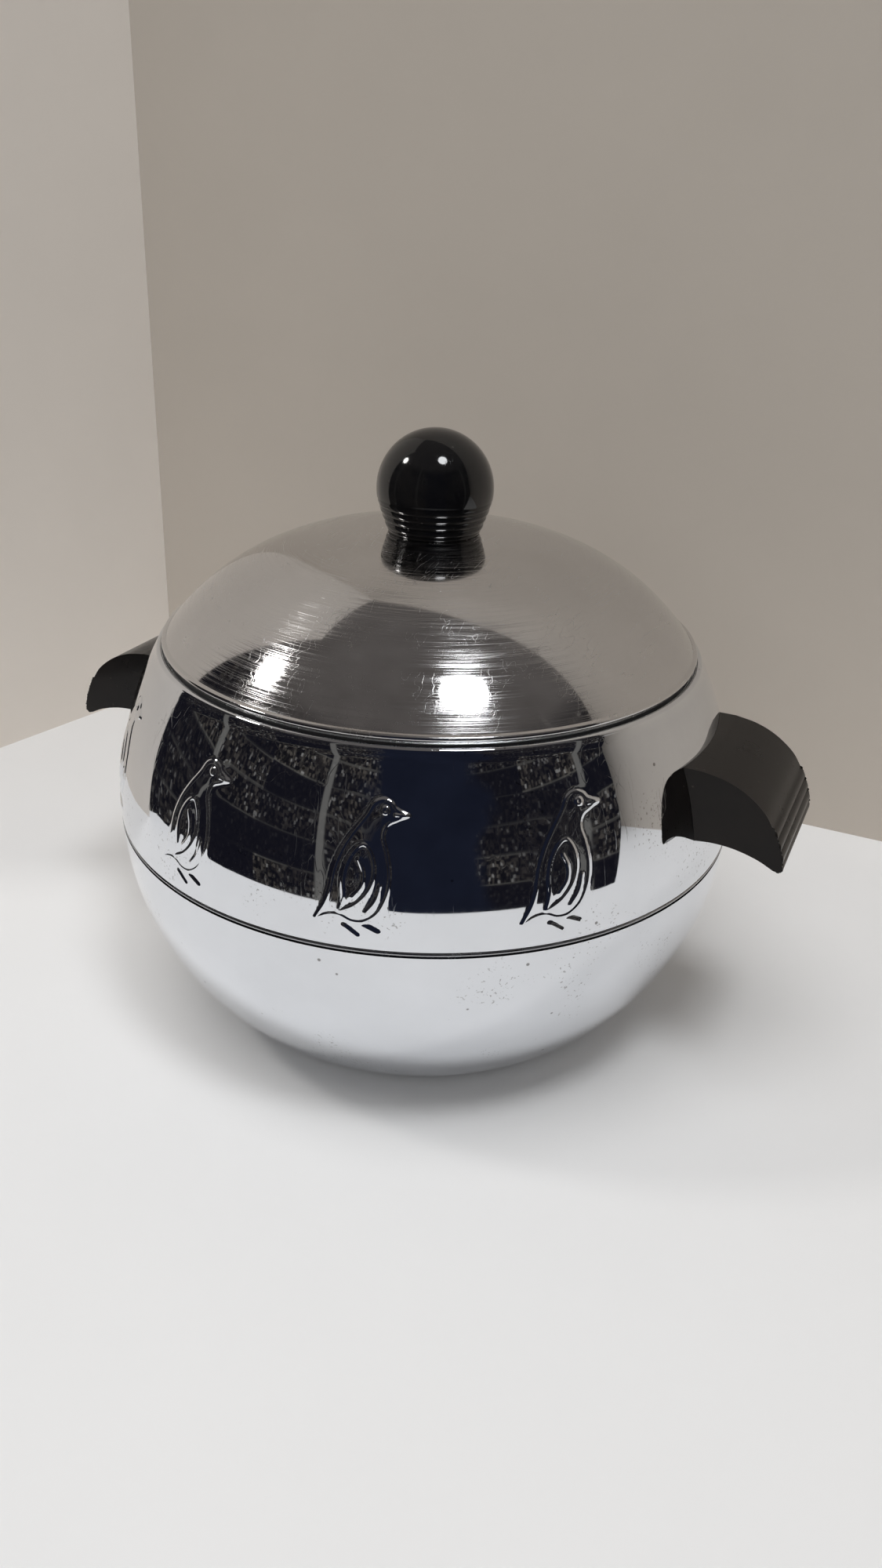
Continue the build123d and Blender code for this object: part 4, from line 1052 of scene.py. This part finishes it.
def shelves_of_goods(tree, azimuth, slope, flat_map, cloud):
    """Colour of shelves with small goods on some of them, between upright posts."""
    goods_map = node(tree, "ShaderNodeMapping", {"Vector": flat_map, "Scale": GOODS_SCALE}).outputs[0]
    cell_inputs = {"Vector": goods_map, "Randomness": 0.55}
    cells = node(tree, "ShaderNodeTexVoronoi", cell_inputs, feature="F1", distance="CHEBYCHEV")
    chance = node(tree, "ShaderNodeSeparateColor", {0: cells.outputs["Color"]}).outputs
    goods = mix_colour(tree, maths(tree, "POWER", chance[0], 3.0), GOODS_DARK, GOODS_DULL)
    goods = mix_colour(tree, remap(tree, chance[1], 0.93, 0.95), goods, GOODS_PALE)
    board = remap(tree, maths(tree, "PINGPONG", slope, BOARD_GAP), 0.006, 0.011, 0.8, 0.0)
    along = maths(tree, "ADD", azimuth, BAY_TURN)
    post = remap(tree, maths(tree, "PINGPONG", along, BAY_WIDTH), 0.016, 0.026, 0.8, 0.0)
    column = maths(tree, "FLOOR", maths(tree, "DIVIDE", along, BAY_WIDTH))
    row = maths(tree, "FLOOR", maths(tree, "DIVIDE", slope, 2 * BOARD_GAP))
    bay_place = node(tree, "ShaderNodeCombineXYZ", {0: column, 1: row}).outputs[0]
    bay = node(tree, "ShaderNodeTexWhiteNoise", {"Vector": bay_place}, noise_dimensions="2D")
    full = remap(tree, bay.outputs["Value"], 0.25, 0.8, 0.05, 1.0)
    stock = maths(tree, "MULTIPLY", full, remap(tree, cloud, 0.35, 0.55, 0.3, 1.0))
    shelves = mix_colour(tree, board, goods, BOARD_TINT)
    shelves = mix_colour(tree, stock, EMPTY_BAY, shelves)
    return mix_colour(tree, post, shelves, POST_TINT)


def dim_room():
    """World seen in the chrome: a dark blue room with faint shelves to the sides and a dull ceiling."""
    world = bpy.data.worlds.new("dim_room")
    bpy.context.scene.world = world
    world.use_nodes = True
    tree = world.node_tree
    tree.nodes.clear()
    direction = node(tree, "ShaderNodeTexCoord").outputs["Generated"]
    parts = node(tree, "ShaderNodeSeparateXYZ", {0: direction}).outputs
    run = maths(tree, "MAXIMUM", distance_from_axis(tree, parts), LEAST_RUN)
    slope = maths(tree, "DIVIDE", parts[2], run)
    azimuth = maths(tree, "ARCTAN2", parts[1], parts[0])
    flat_map = node(tree, "ShaderNodeCombineXYZ", {0: azimuth, 1: slope}).outputs[0]
    cloud = noise(tree, flat_map, scale=3.2, detail=2.0)
    shelves = shelves_of_goods(tree, azimuth, slope, flat_map, cloud)
    aside = maths(tree, "ABSOLUTE", maths(tree, "ADD", azimuth, math.pi / 2 - SET_TURN))
    zone = remap(tree, plus(tree, aside, cloud, 0.5), 0.55, 0.70)
    navy = mix_colour(tree, noise(tree, flat_map, scale=3.0), NAVY_DARK, NAVY_LIGHT)
    colour = mix_colour(tree, zone, navy, shelves)
    ceiling = mix_colour(tree, noise(tree, direction, scale=6.0), CEILING_DARK, CEILING_LIGHT)
    colour = mix_colour(tree, remap(tree, slope, 0.75, 1.1), colour, ceiling)
    background = node(tree, "ShaderNodeBackground", {"Color": colour, "Strength": 1.0})
    output = node(tree, "ShaderNodeOutputWorld")
    tree.links.new(background.outputs[0], output.inputs["Surface"])


dim_room()

# ======================================== camera
CAMERA_AWAY = 0.38555
CAMERA_RISE = 0.19416            # above the seam
CAMERA_PITCH = math.radians(26.519)
CAMERA_YAW = math.radians(0.775)
CAMERA_ROLL = math.radians(-2.169)
CAMERA_LENS = 28.8
NEAR_CLIP = 0.01


def add_camera():
    """Camera at the viewing angle, a little tilted, looking down on the bucket."""
    level_run, fall = math.cos(CAMERA_PITCH), math.sin(CAMERA_PITCH)
    sin_yaw, cos_yaw = math.sin(CAMERA_YAW), math.cos(CAMERA_YAW)
    ahead = Vector(on_set(sin_yaw * level_run, cos_yaw * level_run, -fall))
    level = Vector(on_set(cos_yaw, -sin_yaw, 0))
    down = ahead.cross(level)
    right = level * math.cos(CAMERA_ROLL) + down * math.sin(CAMERA_ROLL)
    up = level * math.sin(CAMERA_ROLL) - down * math.cos(CAMERA_ROLL)
    camera = bpy.data.cameras.new("camera")
    camera.lens = CAMERA_LENS
    camera.clip_start = NEAR_CLIP
    holder = bpy.data.objects.new("camera", camera)
    pose = Matrix((right, up, -ahead)).transposed().to_4x4()
    pose.translation = on_set(0, -CAMERA_AWAY, SEAM_HEIGHT + CAMERA_RISE)
    holder.matrix_world = pose
    bpy.context.scene.collection.objects.link(holder)
    bpy.context.scene.camera = holder


add_camera()
bpy.context.scene.view_settings.view_transform = "Standard"
